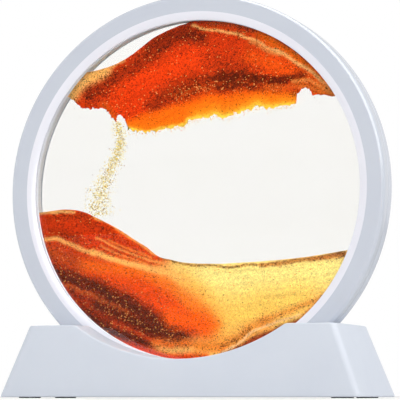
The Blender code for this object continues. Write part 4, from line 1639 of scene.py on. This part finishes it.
def upper_mass() -> SandMass:
    """The sand that has not fallen yet, with its dark bands, gold streak and bright fringe.

    Returns:
        The mass, ready to build.
    """
    crest = EdgeRun((
        (-73.4, 49.9), (-63.4, 57.4), (-55.6, 56.8), (-48.0, 57.7), (-40.0, 59.9), (-33.6, 62.9),
        (-27.6, 66.8), (-21.2, 71.3), (-14.9, 74.2), (-8.5, 76.5), (-3.6, 78.0), (6.5, 84.0),
    ))
    right = EdgeRun((
        (76.2, 37.2), (68.1, 39.9), (60.1, 41.7), (55.4, 41.8), (53.5, 45.1), (50.7, 44.8),
        (48.3, 42.1), (47.8, 38.0), (46.5, 37.2),
    ), 0.85, 1.2, False)
    fringe = EdgeRun((
        (46.5, 37.2), (41.2, 37.4), (36.0, 36.2), (29.3, 37.8), (26.4, 36.1), (15.4, 33.8),
        (13.5, 32.4), (9.1, 34.0), (1.8, 32.9), (-3.5, 32.2), (-5.5, 29.6), (-12.8, 29.0),
        (-19.1, 28.1), (-24.1, 27.3), (-30.0, 28.5), (-33.7, 29.1),
    ), 1.25, 1.5, False)
    left = EdgeRun((
        (-34.2, 32.9), (-37.0, 36.3), (-39.5, 34.5), (-39.0, 32.6), (-42.0, 36.0), (-44.5, 38.9),
        (-49.0, 39.5), (-56.5, 39.8), (-61.1, 44.0), (-66.0, 46.5),
    ), 0.85, 1.2, False)
    edge = fringe.points
    layers = (
        Streak(((-53.0, 47.0), (-40.0, 52.0), (-22.0, 62.0), (-4.0, 68.0), (20.0, 61.0)), 9.0,
               "#CB3707", 0.7, 0.16),
        Streak(((-41.5, 41.1), (-34.6, 49.3), (-22.7, 54.9), (-10.4, 59.5), (3.3, 62.1)), 5.0,
               "#EA3F04", 1.0, 0.07),
        Streak(((-27.6, 46.2), (-30.1, 38.8), (-32.0, 31.4)), 5.0, "#E43A04", 0.9, 0.09),
        Streak(((-45.0, 45.5), (-40.0, 40.5)), 4.0, "#D93A07", 0.8, 0.15),
        Streak(((26.0, 59.7), (35.5, 56.9), (46.0, 52.3)), 3.6, "#EA5208", 1.0, 0.08),
        Streak(((-64.1, 45.4), (-58.6, 50.3), (-52.6, 54.3), (-45.5, 56.9)), 3.4, "#FFC068", 0.95,
               0.12, 0.024, 3.0),
        Streak(((-55.6, 56.4), (-48.1, 57.4), (-41.6, 59.0), (-35.6, 61.6)), 0.9, "#E8A558", 0.8,
               0.10, 0.020, 3.0),
        Streak(((-52.5, 46.2), (-43.5, 50.6), (-34.6, 55.9), (-20.2, 64.6), (-6.0, 73.3),
                (-0.1, 71.6)), 2.8, "#AC2F08", 0.75, 0.65, 0.012),
        Streak(((-22.0, 67.5), (-12.0, 72.5), (2.0, 70.5)), 2.6, "#9D2A08", 0.7, 0.68, 0.016),
        Streak(((5.2, 61.6), (12.5, 58.4), (21.2, 56.2), (28.4, 54.0)), 3.2, "#CA3707", 0.7, 0.39,
               0.008),
        Streak(((-21.2, 40.3), (-11.8, 45.5), (-0.6, 49.8), (10.6, 51.2), (21.7, 50.7)), 2.8,
               "#A42F08", 0.7, 0.72, 0.024),
        Streak(((10.6, 51.8), (21.7, 51.3), (30.8, 49.7), (39.3, 48.0), (45.5, 49.6),
                (50.2, 50.3)), 1.9, "#842305", 0.85, 0.86, 0.016, 3.0),
        Streak(((-8.9, 44.0), (1.8, 46.4), (12.5, 47.3), (30.7, 47.0)), 2.2, "#BF430A", 0.6, 0.55,
               0.160),
        Streak(((10.6, 47.6), (21.6, 46.9), (30.7, 45.6), (40.3, 42.9), (47.4, 41.7),
                (46.9, 38.0)), 1.7, "#A62F07", 0.8, 0.65, 0.048),
        Streak(((33.0, 46.6), (41.0, 45.6), (48.0, 46.2)), 1.0, "#D95F1A", 0.7, 0.12, 0.020),
        Streak(((-32.5, 28.6), (-24.0, 32.0), (-14.0, 34.6), (-5.0, 36.6), (5.0, 38.6),
                (15.0, 39.0), (25.0, 40.0), (34.0, 40.0), (42.5, 39.2)), 4.4, "#FF6E06", 1.0, 0.05,
               0.000, 4.0),
        Streak(edge[:9], 4.2, "#FF9A1C", 0.8, 0.01, 0.000, 3.0),
        Streak(edge[7:], 2.6, "#FF8410", 0.8, 0.01, 0.000, 3.0),
        Streak(edge[:9], 1.9, "#FFBC38", 0.9, 0.00, 0.000, 3.0),
        Streak(edge, 1.0, "#FFD048", 0.9, 0.00, 0.000, 3.0),
        Streak(((7.0, 77.4), (18.8, 74.8), (29.4, 72.0)), 2.0, "#E4501A", 0.9, 0.26, 0.012),
        Streak(((31.8, 70.4), (42.2, 64.4), (53.6, 56.2), (61.5, 47.6)), 2.6, "#FF7014", 0.95,
               0.05),
        Streak(((2.0, 79.0), (18.0, 77.0), (34.0, 71.2), (50.0, 61.0), (62.0, 48.8)), 0.55,
               "#A42A08", 0.8, 0.10, 0.000, 3.0),
        Streak(((-2.1, 76.2), (9.1, 73.7), (19.8, 70.9), (30.8, 66.5), (40.3, 61.9)), 0.55,
               "#F4B060", 1.0, 0.06, 0.020, 3.0),
        Streak(((26.0, 67.0), (32.0, 64.4), (40.3, 60.6)), 0.7, "#E08C44", 0.8, 0.10, 0.012),
        Streak(((38.4, 63.0), (48.4, 57.0), (56.4, 51.2), (62.5, 45.2), (65.7, 41.4)), 0.8,
               "#F4B468", 0.95, 0.10, 0.012, 3.0),
        Streak(((20.0, 72.4), (20.9, 68.6)), 0.35, "#722F0A", 0.8, 0.5),
        Streak(((28.6, 69.2), (29.3, 65.6)), 0.3, "#904113", 0.7, 0.4),
        Streak(((49.8, 46.9), (56.8, 45.0), (62.9, 42.6), (67.6, 40.3)), 2.4, "#D05A18", 0.9, 0.18,
               0.016),
        Streak(((46.5, 48.2), (53.5, 48.3), (59.2, 45.3), (66.2, 41.0)), 0.7, "#E88A3C", 0.8, 0.06,
               0.012, 3.0),
        Streak(((49.5, 45.6), (55.0, 44.4), (61.0, 42.6)), 0.55, "#DC7428", 0.7, 0.06, 0.012, 3.0),
        Streak(((-45.5, 40.4), (-42.5, 37.4), (-40.0, 34.0)), 1.6, "#D35510", 0.8, 0.22, 0.024),
    )
    outside = round_outside(crest.points[-1], right.points[0])
    return SandMass(
        "sand_above", ("upper_sand_red", "upper_sand_gold", "upper_sand_amber"), "red_sand",
        (crest, outside, right, fringe, left), "#D33907", layers, crest.points, 0.10, 0.015,
        lean=(-1.25, 0.35),
    )


def dune_mass() -> SandMass:
    """The sand that has settled: the red dune on the left and the gold basin on the right.

    Returns:
        The mass, ready to build.
    """
    surface = EdgeRun((
        (-85.4, -9.6), (-73.4, -8.2), (-64.4, -7.5), (-56.3, -8.6), (-50.3, -11.1),
        (-42.3, -15.0), (-36.3, -18.4), (-29.9, -22.5), (-24.0, -26.1), (-18.6, -30.2),
        (-12.7, -31.9), (-6.0, -33.4), (1.8, -34.0), (13.9, -34.2), (32.5, -33.4), (50.4, -32.1),
        (62.1, -30.6), (86.1, -27.0),
    ))
    streak = ((-77.4, -21.7), (-69.8, -21.0), (-61.2, -24.0), (-51.2, -27.9), (-38.3, -31.9),
              (-26.9, -34.4), (-16.6, -36.4))
    layers = (
        Streak(((-2.0, -39.0), (21.0, -40.0), (44.7, -39.5), (70.0, -37.0)), 6.5, "#FFE88C", 0.95),
        Streak(((9.0, -60.2), (21.0, -57.7), (35.3, -54.6), (49.4, -51.7)), 7.0, "#FFCC5C", 0.85),
        Streak(((-6.0, -41.6), (2.0, -48.1), (8.5, -56.5), (12.0, -66.0)), 5.0, "#FFBE54", 0.9),
        Patch((
            (-95.0, 5.0), (-50.0, -2.0), (-14.5, -26.0), (-13.0, -33.5), (-22.0, -37.5),
            (-15.0, -41.0), (-9.0, -46.5), (-3.0, -52.0), (5.0, -57.0), (10.0, -62.0),
            (7.0, -67.5), (-5.0, -70.0), (-20.0, -71.0), (-40.0, -95.0), (-95.0, -60.0),
        ), 4.6, "#D33907", 0.16),
        Streak(((-36.0, -36.0), (-26.0, -38.5), (-16.0, -42.5), (-7.0, -48.5), (1.0, -55.5),
                (8.0, -62.0)), 4.4, "#FF7A14", 0.85, 0.04),
        Streak(((-53.2, -35.5), (-38.0, -39.5), (-25.0, -46.0), (-15.0, -53.0), (-8.0, -60.0)), 4.2,
               "#EC4A05", 0.9, 0.10),
        Streak(((-56.0, -33.0), (-44.0, -35.5), (-33.0, -37.5)), 2.6, "#F2680E", 0.8, 0.08),
        Streak(((-76.3, -26.5), (-67.2, -29.0), (-60.0, -32.0)), 3.4, "#C04A12", 0.75, 0.26, 0.012),
        Streak(((-72.4, -11.4), (-64.3, -10.0), (-56.3, -11.8), (-49.3, -15.6), (-40.0, -20.0)),
               1.8, "#BC3607", 0.7, 0.34, 0.012),
        Streak(((-74.0, -16.0), (-60.0, -16.0), (-46.0, -21.0), (-34.0, -26.5)), 3.0, "#CE3507",
               0.6, 0.14, 0.012),
        Streak(((-70.3, -18.1), (-64.3, -19.6), (-58.2, -21.4)), 2.0, "#AE3208", 0.75, 0.44, 0.036),
        Streak(((-40.3, -16.8), (-33.0, -21.8), (-24.0, -27.6), (-18.0, -31.4)), 1.8, "#E04204",
               0.9, 0.14),
        Streak(((-72.0, -36.8), (-61.6, -39.9), (-51.1, -43.7), (-38.2, -50.0), (-22.5, -58.9),
                (-11.7, -65.0), (-6.9, -68.2)), 3.7, "#702005", 0.9, 0.86, 0.036, 2.6),
        Streak(((-66.1, -49.3), (-55.1, -54.9), (-43.6, -60.6), (-26.8, -67.0)), 5.4, "#8C2808",
               0.8, 0.62, 0.030),
        Streak(((-70.2, -42.6), (-61.1, -44.2), (-52.1, -47.4), (-41.7, -52.0), (-33.3, -56.5)),
               0.9, "#C6521A", 0.85, 0.12, 0.020, 3.0),
        Streak(((-48.0, -52.0), (-38.0, -57.0), (-24.0, -63.5), (-12.0, -68.0)), 2.0, "#681E05",
               0.8, 0.84, 0.090),
        Streak(((-58.1, -54.8), (-47.1, -61.6), (-35.2, -67.2), (-20.5, -71.3)), 1.5, "#631A04",
               0.85, 0.81, 0.030),
        Streak(((-41.1, -60.6), (-27.3, -66.4), (-11.7, -71.0)), 0.9, "#CE3C09", 0.8, 0.12),
        Streak(((-19.5, -69.7), (-7.8, -70.3), (4.7, -71.6), (13.8, -72.9)), 1.7, "#F07424", 0.85,
               0.12, 0.008),
        Streak(((-40.2, -69.9), (-26.8, -73.7), (-11.7, -76.8), (3.8, -76.6)), 2.4, "#E13A05", 1.0,
               0.06, 0.000, 3.0),
        Streak(((-11.8, -58.6), (-2.1, -60.3), (3.7, -62.3)), 4.0, "#FF5E08", 0.95, 0.07, 0.000,
               2.6),
        Streak(((-49.2, -21.4), (-38.3, -25.8), (-27.4, -30.2), (-16.6, -33.7)), 0.5, "#FFAA50",
               0.75, 0.04, 0.008, 3.0),
        Streak(((-47.2, -25.2), (-35.3, -29.6), (-22.5, -34.0), (-14.7, -36.0)), 0.5, "#F89A44",
               0.6, 0.05, 0.008, 3.0),
        Streak(((-43.3, -22.0), (-32.4, -26.4), (-21.5, -30.8)), 0.4, "#FF9A3C", 0.55, 0.04, 0.0,
               3.0),
        Streak(streak, 0.85, "#F4AE5C", 0.9, 0.08, 0.016, 3.0),
        Streak(((-51.2, -27.9), (-38.3, -32.2), (-26.9, -35.0), (-15.2, -37.6), (-4.0, -41.0)),
               1.3, "#FFB45C", 0.85, 0.03, 0.008, 3.0),
        Streak(((-81.5, -9.8), (-73.4, -8.6), (-65.8, -8.0), (-60.3, -8.6)), 0.7, "#F0B264", 0.9,
               0.05, 0.012, 3.0),
        Streak(((-51.3, -10.9), (-42.3, -15.2), (-29.9, -22.8), (-19.6, -29.8)), 0.45, "#FFB85A",
               0.8, 0.03, 0.000, 3.0),
        Streak(((-17.6, -31.0), (-10.3, -33.4), (-1.6, -34.7), (19.6, -35.2), (31.5, -34.6)), 0.5,
               "#C8842E", 0.8, 0.55, 0.012, 3.0),
        Streak(((31.5, -34.8), (44.7, -33.8), (60.2, -32.4), (80.0, -30.4)), 1.0, "#D07C2C", 0.85,
               0.46, 0.030, 3.0),
        Streak(((55.0, -33.0), (66.0, -31.8), (80.0, -30.2)), 1.5, "#C4702A", 0.7, 0.50, 0.030,
               3.0),
        Streak(((-15.2, -31.6), (-1.6, -33.6), (19.6, -34.1), (40.0, -32.8), (60.2, -30.6),
                (80.0, -27.9)), 0.3, "#FFE08C", 0.7, 0.00, 0.000, 3.0),
        Streak(((2.0, -71.5), (12.0, -71.0), (22.0, -67.0), (33.0, -62.0)), 3.4, "#F58C2C", 0.8,
               0.10),
        Streak(((12.4, -75.6), (22.0, -71.9), (32.9, -67.2), (44.2, -62.4), (51.0, -60.4)), 1.5,
               "#A62F09", 0.95, 0.28, 0.008, 3.0),
        Streak(((12.4, -74.4), (20.0, -70.3), (27.6, -65.8), (35.2, -62.3), (42.3, -59.7),
                (49.4, -57.9)), 0.5, "#F8C688", 0.95, 0.02, 0.000, 3.0),
        Streak(((11.4, -71.6), (19.1, -68.4), (26.7, -64.2)), 0.9, "#CC7428", 0.7, 0.42, 0.008),
        Streak(((31.4, -61.0), (40.0, -57.6), (49.4, -54.5), (59.7, -51.0)), 1.4, "#E08430", 0.75,
               0.20, 0.008),
        Streak(((50.4, -59.2), (57.8, -53.9), (64.4, -47.2)), 0.8, "#D07030", 0.8, 0.16),
        Streak(((3.3, -48.7), (3.5, -48.9)), 0.35, "#541C04", 0.9),
        Streak(((8.6, -47.8), (8.7, -48.0)), 0.25, "#722F08", 0.8),
    )
    outside = round_outside(surface.points[-1], surface.points[0])
    return SandMass(
        "sand_dune", ("dune_red", "dune_gold", "dune_dark"), "gold_sand", (surface, outside),
        "#FFD070", layers, surface.points, 0.004, 0.01,
    )


@dataclass
class FallingGrains:
    """Single grains: the stream from the upper sand to the dune, the fringe and some strays.

    Real grains are about 0.2 mm. They are drawn about twice as coarse, so that they show.

    Attributes:
        grain: A grain's radius, before each one's own scale.
        flatness: Its shape, as a share of that radius along each of its own axes.
        scales: The smallest and the largest scale of a grain.
        seed: The random numbers' seed.
        half_depth: How far from the cell's middle the grains float, in millimetres.
        stream: Points down the stream in millimetres, each with the half width there and the share
            of its grains that lie from there to the next point.
        stream_count: How many grains the stream has.
        stream_spread: How far they scatter across it, as a share of its half width there.
        stream_jitter: How far they scatter along it, in millimetres.
        fringe_count: How many grains cling under the upper sand.
        fringe_spread: How far they scatter along its edge, in millimetres.
        fringe_drop: How far they scatter below it, and the least gap to it, in millimetres.
        strays: Where single grains float.
        tints: The tints of the stream, each as common as the next.
        fringe_tints: The tints of the fringe.
        stray_tint: The tint of the strays.
    """

    grain: float = 0.24 * MM
    flatness: Corner = (1.0, 0.72, 0.84)
    scales: Point = (0.62, 1.25)
    seed: int = 20
    half_depth: float = 1.7
    stream: tuple[tuple[float, float, float, float], ...] = (
        (-39.3, 33.0, 1.9, 0.07), (-38.1, 28.6, 2.6, 0.09), (-37.6, 23.4, 2.3, 0.12),
        (-38.6, 18.5, 2.8, 0.13), (-41.5, 13.2, 3.6, 0.14), (-45.0, 7.0, 4.4, 0.15),
        (-47.4, 0.6, 5.2, 0.16), (-48.2, -5.2, 6.0, 0.14), (-48.0, -10.4, 6.4, 0.0),
    )
    stream_count: int = 2000
    stream_spread: float = 0.55
    stream_jitter: float = 0.4
    fringe_count: int = 240
    fringe_spread: float = 0.5
    fringe_drop: Point = (0.9, 0.1)
    strays: tuple[Point, ...] = (
        (53.5, 42.3), (56.3, 40.4), (56.8, 39.4), (58.2, 38.0), (31.1, 2.4), (33.0, -4.9),
        (31.7, 34.0), (-58.0, 36.0), (-29.0, 25.0), (-41.0, 30.0), (-60.5, 40.0),
    )
    tints: tuple[str, ...] = (
        "#FFF08C", "#FFEC7C", "#FFF4A8", "#FBE264", "#D0A040", "#FFF08C", "#FFF29C", "#A87C34",
    )
    fringe_tints: tuple[str, ...] = ("#FFD868", "#FFC850", "#FFE48C", "#F8B040", "#FFEEB0")
    stray_tint: str = "#A87C34"

    def places(self, draw: np.random.Generator) -> tuple[np.ndarray, np.ndarray]:
        """Where every grain is, and its tint.

        Args:
            draw: The seeded source of random numbers.

        Returns:
            Places in millimetres, and linear colours.
        """
        spots: list[Point] = []
        colours: list[Colour] = []
        for here, below in zip(self.stream, self.stream[1:]):
            for _ in range(round(self.stream_count * here[3])):
                t = draw.random()
                half = here[2] + (below[2] - here[2]) * t
                spread = draw.normal() * half * self.stream_spread
                spots.append((
                    here[0] + (below[0] - here[0]) * t + spread,
                    here[1] + (below[1] - here[1]) * t + draw.normal() * self.stream_jitter,
                ))
                colours.append(linear(self.tints[draw.integers(len(self.tints))]))
        edge = upper_mass().runs[3].laid_out(0.5)
        fall, gap = self.fringe_drop
        for _ in range(self.fringe_count):
            x, y = edge[draw.integers(len(edge))]
            aside = x + draw.normal() * self.fringe_spread
            spots.append((aside, y - abs(draw.normal()) * fall - gap))
            colours.append(linear(self.fringe_tints[draw.integers(len(self.fringe_tints))]))
        for x, y in self.strays:
            spots.append((x, y))
            colours.append(linear(self.stray_tint))
        return np.array(spots), np.array(colours)

    def build(self, finishes: Finishes) -> Piece:
        """Builds all the grains as one piece, each turned, scaled and placed by its own draw.

        Args:
            finishes: The object's finishes.

        Returns:
            The grains.
        """
        bpy.ops.object.select_all(action="DESELECT")
        bpy.ops.mesh.primitive_ico_sphere_add(subdivisions=1, radius=self.grain)
        model = bpy.context.active_object
        with Bench.editing(model):
            bpy.ops.mesh.select_all(action="SELECT")
            bpy.ops.transform.resize(value=self.flatness)
        shape = np.array([v.co for v in model.data.vertices])
        faces = np.array([p.vertices for p in model.data.polygons])
        bpy.data.objects.remove(model)
        draw = np.random.default_rng(self.seed)
        spots, colours = self.places(draw)
        count = len(spots)
        turns = draw.normal(size=(count, 4))
        w, x, y, z = (turns / np.linalg.norm(turns, axis=1)[:, None]).T
        rotation = np.stack([
            1 - 2 * (y * y + z * z), 2 * (x * y - w * z), 2 * (x * z + w * y),
            2 * (x * y + w * z), 1 - 2 * (x * x + z * z), 2 * (y * z - w * x),
            2 * (x * z - w * y), 2 * (y * z + w * x), 1 - 2 * (x * x + y * y),
        ], axis=1).reshape(count, 3, 3)
        scale = draw.uniform(*self.scales, count)
        depth = draw.uniform(-self.half_depth, self.half_depth, count)
        middles = np.column_stack([spots[:, 0] * MM, depth * MM, spots[:, 1] * MM + AXIS_HEIGHT])
        corners = np.einsum("nij,vj->nvi", rotation, shape) * scale[:, None, None]
        corners += middles[:, None, :]
        starts = np.arange(count)[:, None, None] * len(shape)
        mesh = bpy.data.meshes.new("falling_grains")
        mesh.from_pydata(corners.reshape(-1, 3), [], (faces[None] + starts).reshape(-1, 3).tolist())
        piece = bpy.data.objects.new("falling_grains", mesh)
        bpy.context.scene.collection.objects.link(piece)
        tint = mesh.attributes.new("sand_tint", "FLOAT_COLOR", "POINT")
        tint.data.foreach_set("color", np.repeat(colours, len(shape), axis=0).ravel())
        return dress(piece, Body.DISC, ["sand_trickle"], finishes.grains, 10.0)


@dataclass
class Cell:
    """The liquid between the panes, and the finishes of the CAD nodes that stay."""

    radius: float = 79.6 * MM
    half_depth: float = 2.2 * MM

    def build(self, finishes: Finishes) -> list[Piece]:
        """Builds the liquid and gives the CAD nodes that stay their finishes.

        Args:
            finishes: The object's finishes.

        Returns:
            The liquid and those nodes.
        """
        corners: list[Corner] = [
            (0.0, self.half_depth, 0.0),
            (self.radius, self.half_depth, 0.1 * MM),
            (self.radius, -self.half_depth, 0.1 * MM),
            (0.0, -self.half_depth, 0.0),
        ]
        points = [Vector((radius, depth, AXIS_HEIGHT)) for radius, depth in rounded(corners, 2)]
        liquid = Bench.turned("clear_liquid", points, 256, DISC_CENTRE, BACKWARDS)
        dress(liquid, Body.DISC, ["liquid_fill"], finishes.liquid)
        kept = {
            "front_glass": finishes.glass, "rear_glass": finishes.glass,
            "front_gasket": finishes.gasket, "rear_gasket": finishes.gasket,
            "spacer_ring": finishes.spacer, "bottom_cover": finishes.cover,
        }
        for node, finish in kept.items():
            for slot in frame["nodes"][node].material_slots:
                slot.material = finish
        return [liquid, *(frame["nodes"][node] for node in kept)]


# The studio


@dataclass(frozen=True)
class Softbox:
    """A flat light that faces the disc.

    Attributes:
        name: Its name.
        azimuth: Its direction from the disc in degrees: 0 is in front and 90 on the right.
        elevation: Its height above the horizon in degrees.
        size: Its length and width in metres.
        radiance: How bright its face is, where lit white paper is 1.
        along: The direction that its length follows.
        in_gloss: Whether it shows in reflections.
        in_diffuse: Whether it lights matt surfaces.
        distance: How far it hangs from the disc, in metres.
    """

    name: str
    azimuth: float
    elevation: float
    size: Point
    radiance: float
    along: Corner = (0.0, 0.0, 1.0)
    in_gloss: bool = True
    in_diffuse: bool = True
    distance: float = 1.4

    def build(self) -> Piece:
        """Hangs the light, facing the disc.

        Returns:
            The light.
        """
        lamp = bpy.data.lights.new(self.name, "AREA")
        lamp.shape = "RECTANGLE"
        lamp.size, lamp.size_y = self.size
        lamp.energy = self.radiance * math.pi * self.size[0] * self.size[1]
        item = bpy.data.objects.new(self.name, lamp)
        bpy.context.scene.collection.objects.link(item)
        azimuth, elevation = math.radians(self.azimuth), math.radians(self.elevation)
        away = Vector((
            math.sin(azimuth) * math.cos(elevation),
            -math.cos(azimuth) * math.cos(elevation),
            math.sin(elevation),
        ))
        length = Vector(self.along)
        length = (length - length.dot(away) * away).normalized()
        turn = Matrix((length, away.cross(length), away)).transposed().to_4x4()
        item.matrix_world = Matrix.Translation(DISC_CENTRE + away * self.distance) @ turn
        item.visible_camera = False
        item.visible_glossy = self.in_gloss
        item.visible_diffuse = self.in_diffuse
        item.visible_transmission = self.in_diffuse
        return item


@dataclass
class Studio:
    """Camera, plain pale floor and plain soft light.

    Attributes:
        camera_azimuth: The camera's direction from the disc in radians, to the right of the front.
        camera_distance: How far it is from the disc's axis.
        camera_height: How high it stands.
        camera_turn: How far it looks to the left of the disc's axis, in radians.
        camera_pitch: How far it looks up, in radians.
        focal_pixels: Its focal length, in pixels of the picture.
        picture_pixels: The picture's width in pixels.
        floor_size: The paper's length and width in metres.
        diffuse_light: How bright the room's white walls are to matt surfaces.
        seen_through_glass: How bright they are behind the cell.
        light_on_sand: How bright they are to sand behind the pane, which dims them.
        light_in_corners: The same where light reaches the sand from other sand or from the floor.
        gloss_in_front: How bright they are in reflections, in front of the disc.
        gloss_behind: The same behind it.
        boxes: The lights.
    """

    camera_azimuth: float = 0.32288591
    camera_distance: float = 1.0552091
    camera_height: float = 1.078 * MM
    camera_turn: float = -0.00076583
    camera_pitch: float = 0.0849
    focal_pixels: float = 2300.0
    picture_pixels: float = 400.0
    floor_size: float = 8.0
    diffuse_light: float = 0.88
    seen_through_glass: float = 1.153
    light_on_sand: float = 4.7
    light_in_corners: float = 9.5
    gloss_in_front: float = 0.03
    gloss_behind: float = 0.78
    boxes: tuple[Softbox, ...] = (
        Softbox("key_box", 20.0, 50.0, (1.2, 1.0), 1.03, (1.0, 0.0, 0.0), in_gloss=False),
        Softbox("right_box", 90.0, 35.0, (0.9, 0.8), 0.8, in_gloss=False),
        Softbox("bevel_box", 27.0, 20.0, (1.15, 0.36), 8.5, (-0.32, 0.0, 0.95), in_diffuse=False),
        Softbox("rim_strip", 70.8, 60.5, (3.2, 1.8), 6.5, (0.88, -0.28, -0.38), in_diffuse=False),
    )

    def build(self) -> None:
        """Builds the studio."""
        scene = bpy.context.scene
        scene.view_settings.view_transform = "Standard"
        lens = bpy.data.cameras.new("camera")
        lens.sensor_width = 36.0
        lens.lens = self.focal_pixels / self.picture_pixels * lens.sensor_width
        lens.clip_start, lens.clip_end = 0.01, 50.0
        camera = bpy.data.objects.new("camera", lens)
        scene.collection.objects.link(camera)
        camera.location = (
            math.sin(self.camera_azimuth) * self.camera_distance,
            -math.cos(self.camera_azimuth) * self.camera_distance,
            self.camera_height,
        )
        camera.rotation_euler = (
            math.pi / 2 + self.camera_pitch, 0.0, self.camera_azimuth + self.camera_turn
        )
        scene.camera = camera
        bpy.ops.object.select_all(action="DESELECT")
        bpy.ops.mesh.primitive_plane_add(size=self.floor_size)
        floor = bpy.context.active_object
        floor.name = "paper_floor"
        floor.data.materials.append(StudioPaper().make())
        for box in self.boxes:
            box.build()
        self.light_room(scene)

    def light_room(self, scene: bpy.types.Scene) -> None:
        """Gives the room white walls: bright behind the object, dimmer in reflections.

        Args:
            scene: The scene.
        """
        world = bpy.data.worlds.new("white_room")
        scene.world = world
        world.use_nodes = True
        tree = world.node_tree
        path = add_node(tree, "LightPath").outputs
        through_glass = path["Is Transmission Ray"]
        is_gloss, is_diffuse, is_corner = (
            add_node(
                tree, "Math", {"operation": "GREATER_THAN"}, {0: path[depth], 1: above}
            ).outputs["Value"]
            for depth, above in (
                ("Glossy Depth", 0.5), ("Diffuse Depth", 0.5), ("Diffuse Depth", 1.5),
            )
        )
        on_sand = add_node(
            tree, "Math", {"operation": "MULTIPLY"}, {0: through_glass, 1: is_diffuse}
        ).outputs["Value"]
        ahead = add_node(tree, "TexCoord").outputs["Generated"]
        gloss = add_node(tree, "MapRange", {}, {
            "Value": add_node(tree, "SeparateXYZ", {}, {"Vector": ahead}).outputs["Y"],
            "From Min": -0.2, "From Max": 0.3,
            "To Min": self.gloss_in_front, "To Max": self.gloss_behind,
        }).outputs["Result"]
        sand_light = add_node(
            tree, "Mix", {"data_type": "FLOAT"},
            {0: is_corner, 2: self.light_on_sand, 3: self.light_in_corners},
        ).outputs[0]
        strength: Socket | float = self.diffuse_light
        for share, other in (
            (through_glass, self.seen_through_glass), (is_gloss, gloss), (on_sand, sand_light),
            (path["Is Camera Ray"], 1.0),
        ):
            strength = add_node(
                tree, "Mix", {"data_type": "FLOAT"}, {0: share, 2: strength, 3: other}
            ).outputs[0]
        feed(tree, tree.nodes["Background"], {"Color": (1.0, 1.0, 1.0, 1.0), "Strength": strength})


def main() -> None:
    """Builds the object's pieces in order and the studio round them."""
    logging.basicConfig(level=logging.INFO, format="%(name)s: %(message)s")
    finishes = Finishes()
    pieces = [
        *Stand().build(finishes),
        *RoundFrame().build(finishes),
        *Cell().build(finishes),
        upper_mass().build(finishes),
        dune_mass().build(finishes),
        FallingGrains().build(finishes),
    ]
    for piece in pieces:
        LOG.info("%s: %d faces", piece.name, len(piece.data.polygons))
    Studio().build()


if __name__ == "__main__":
    main()
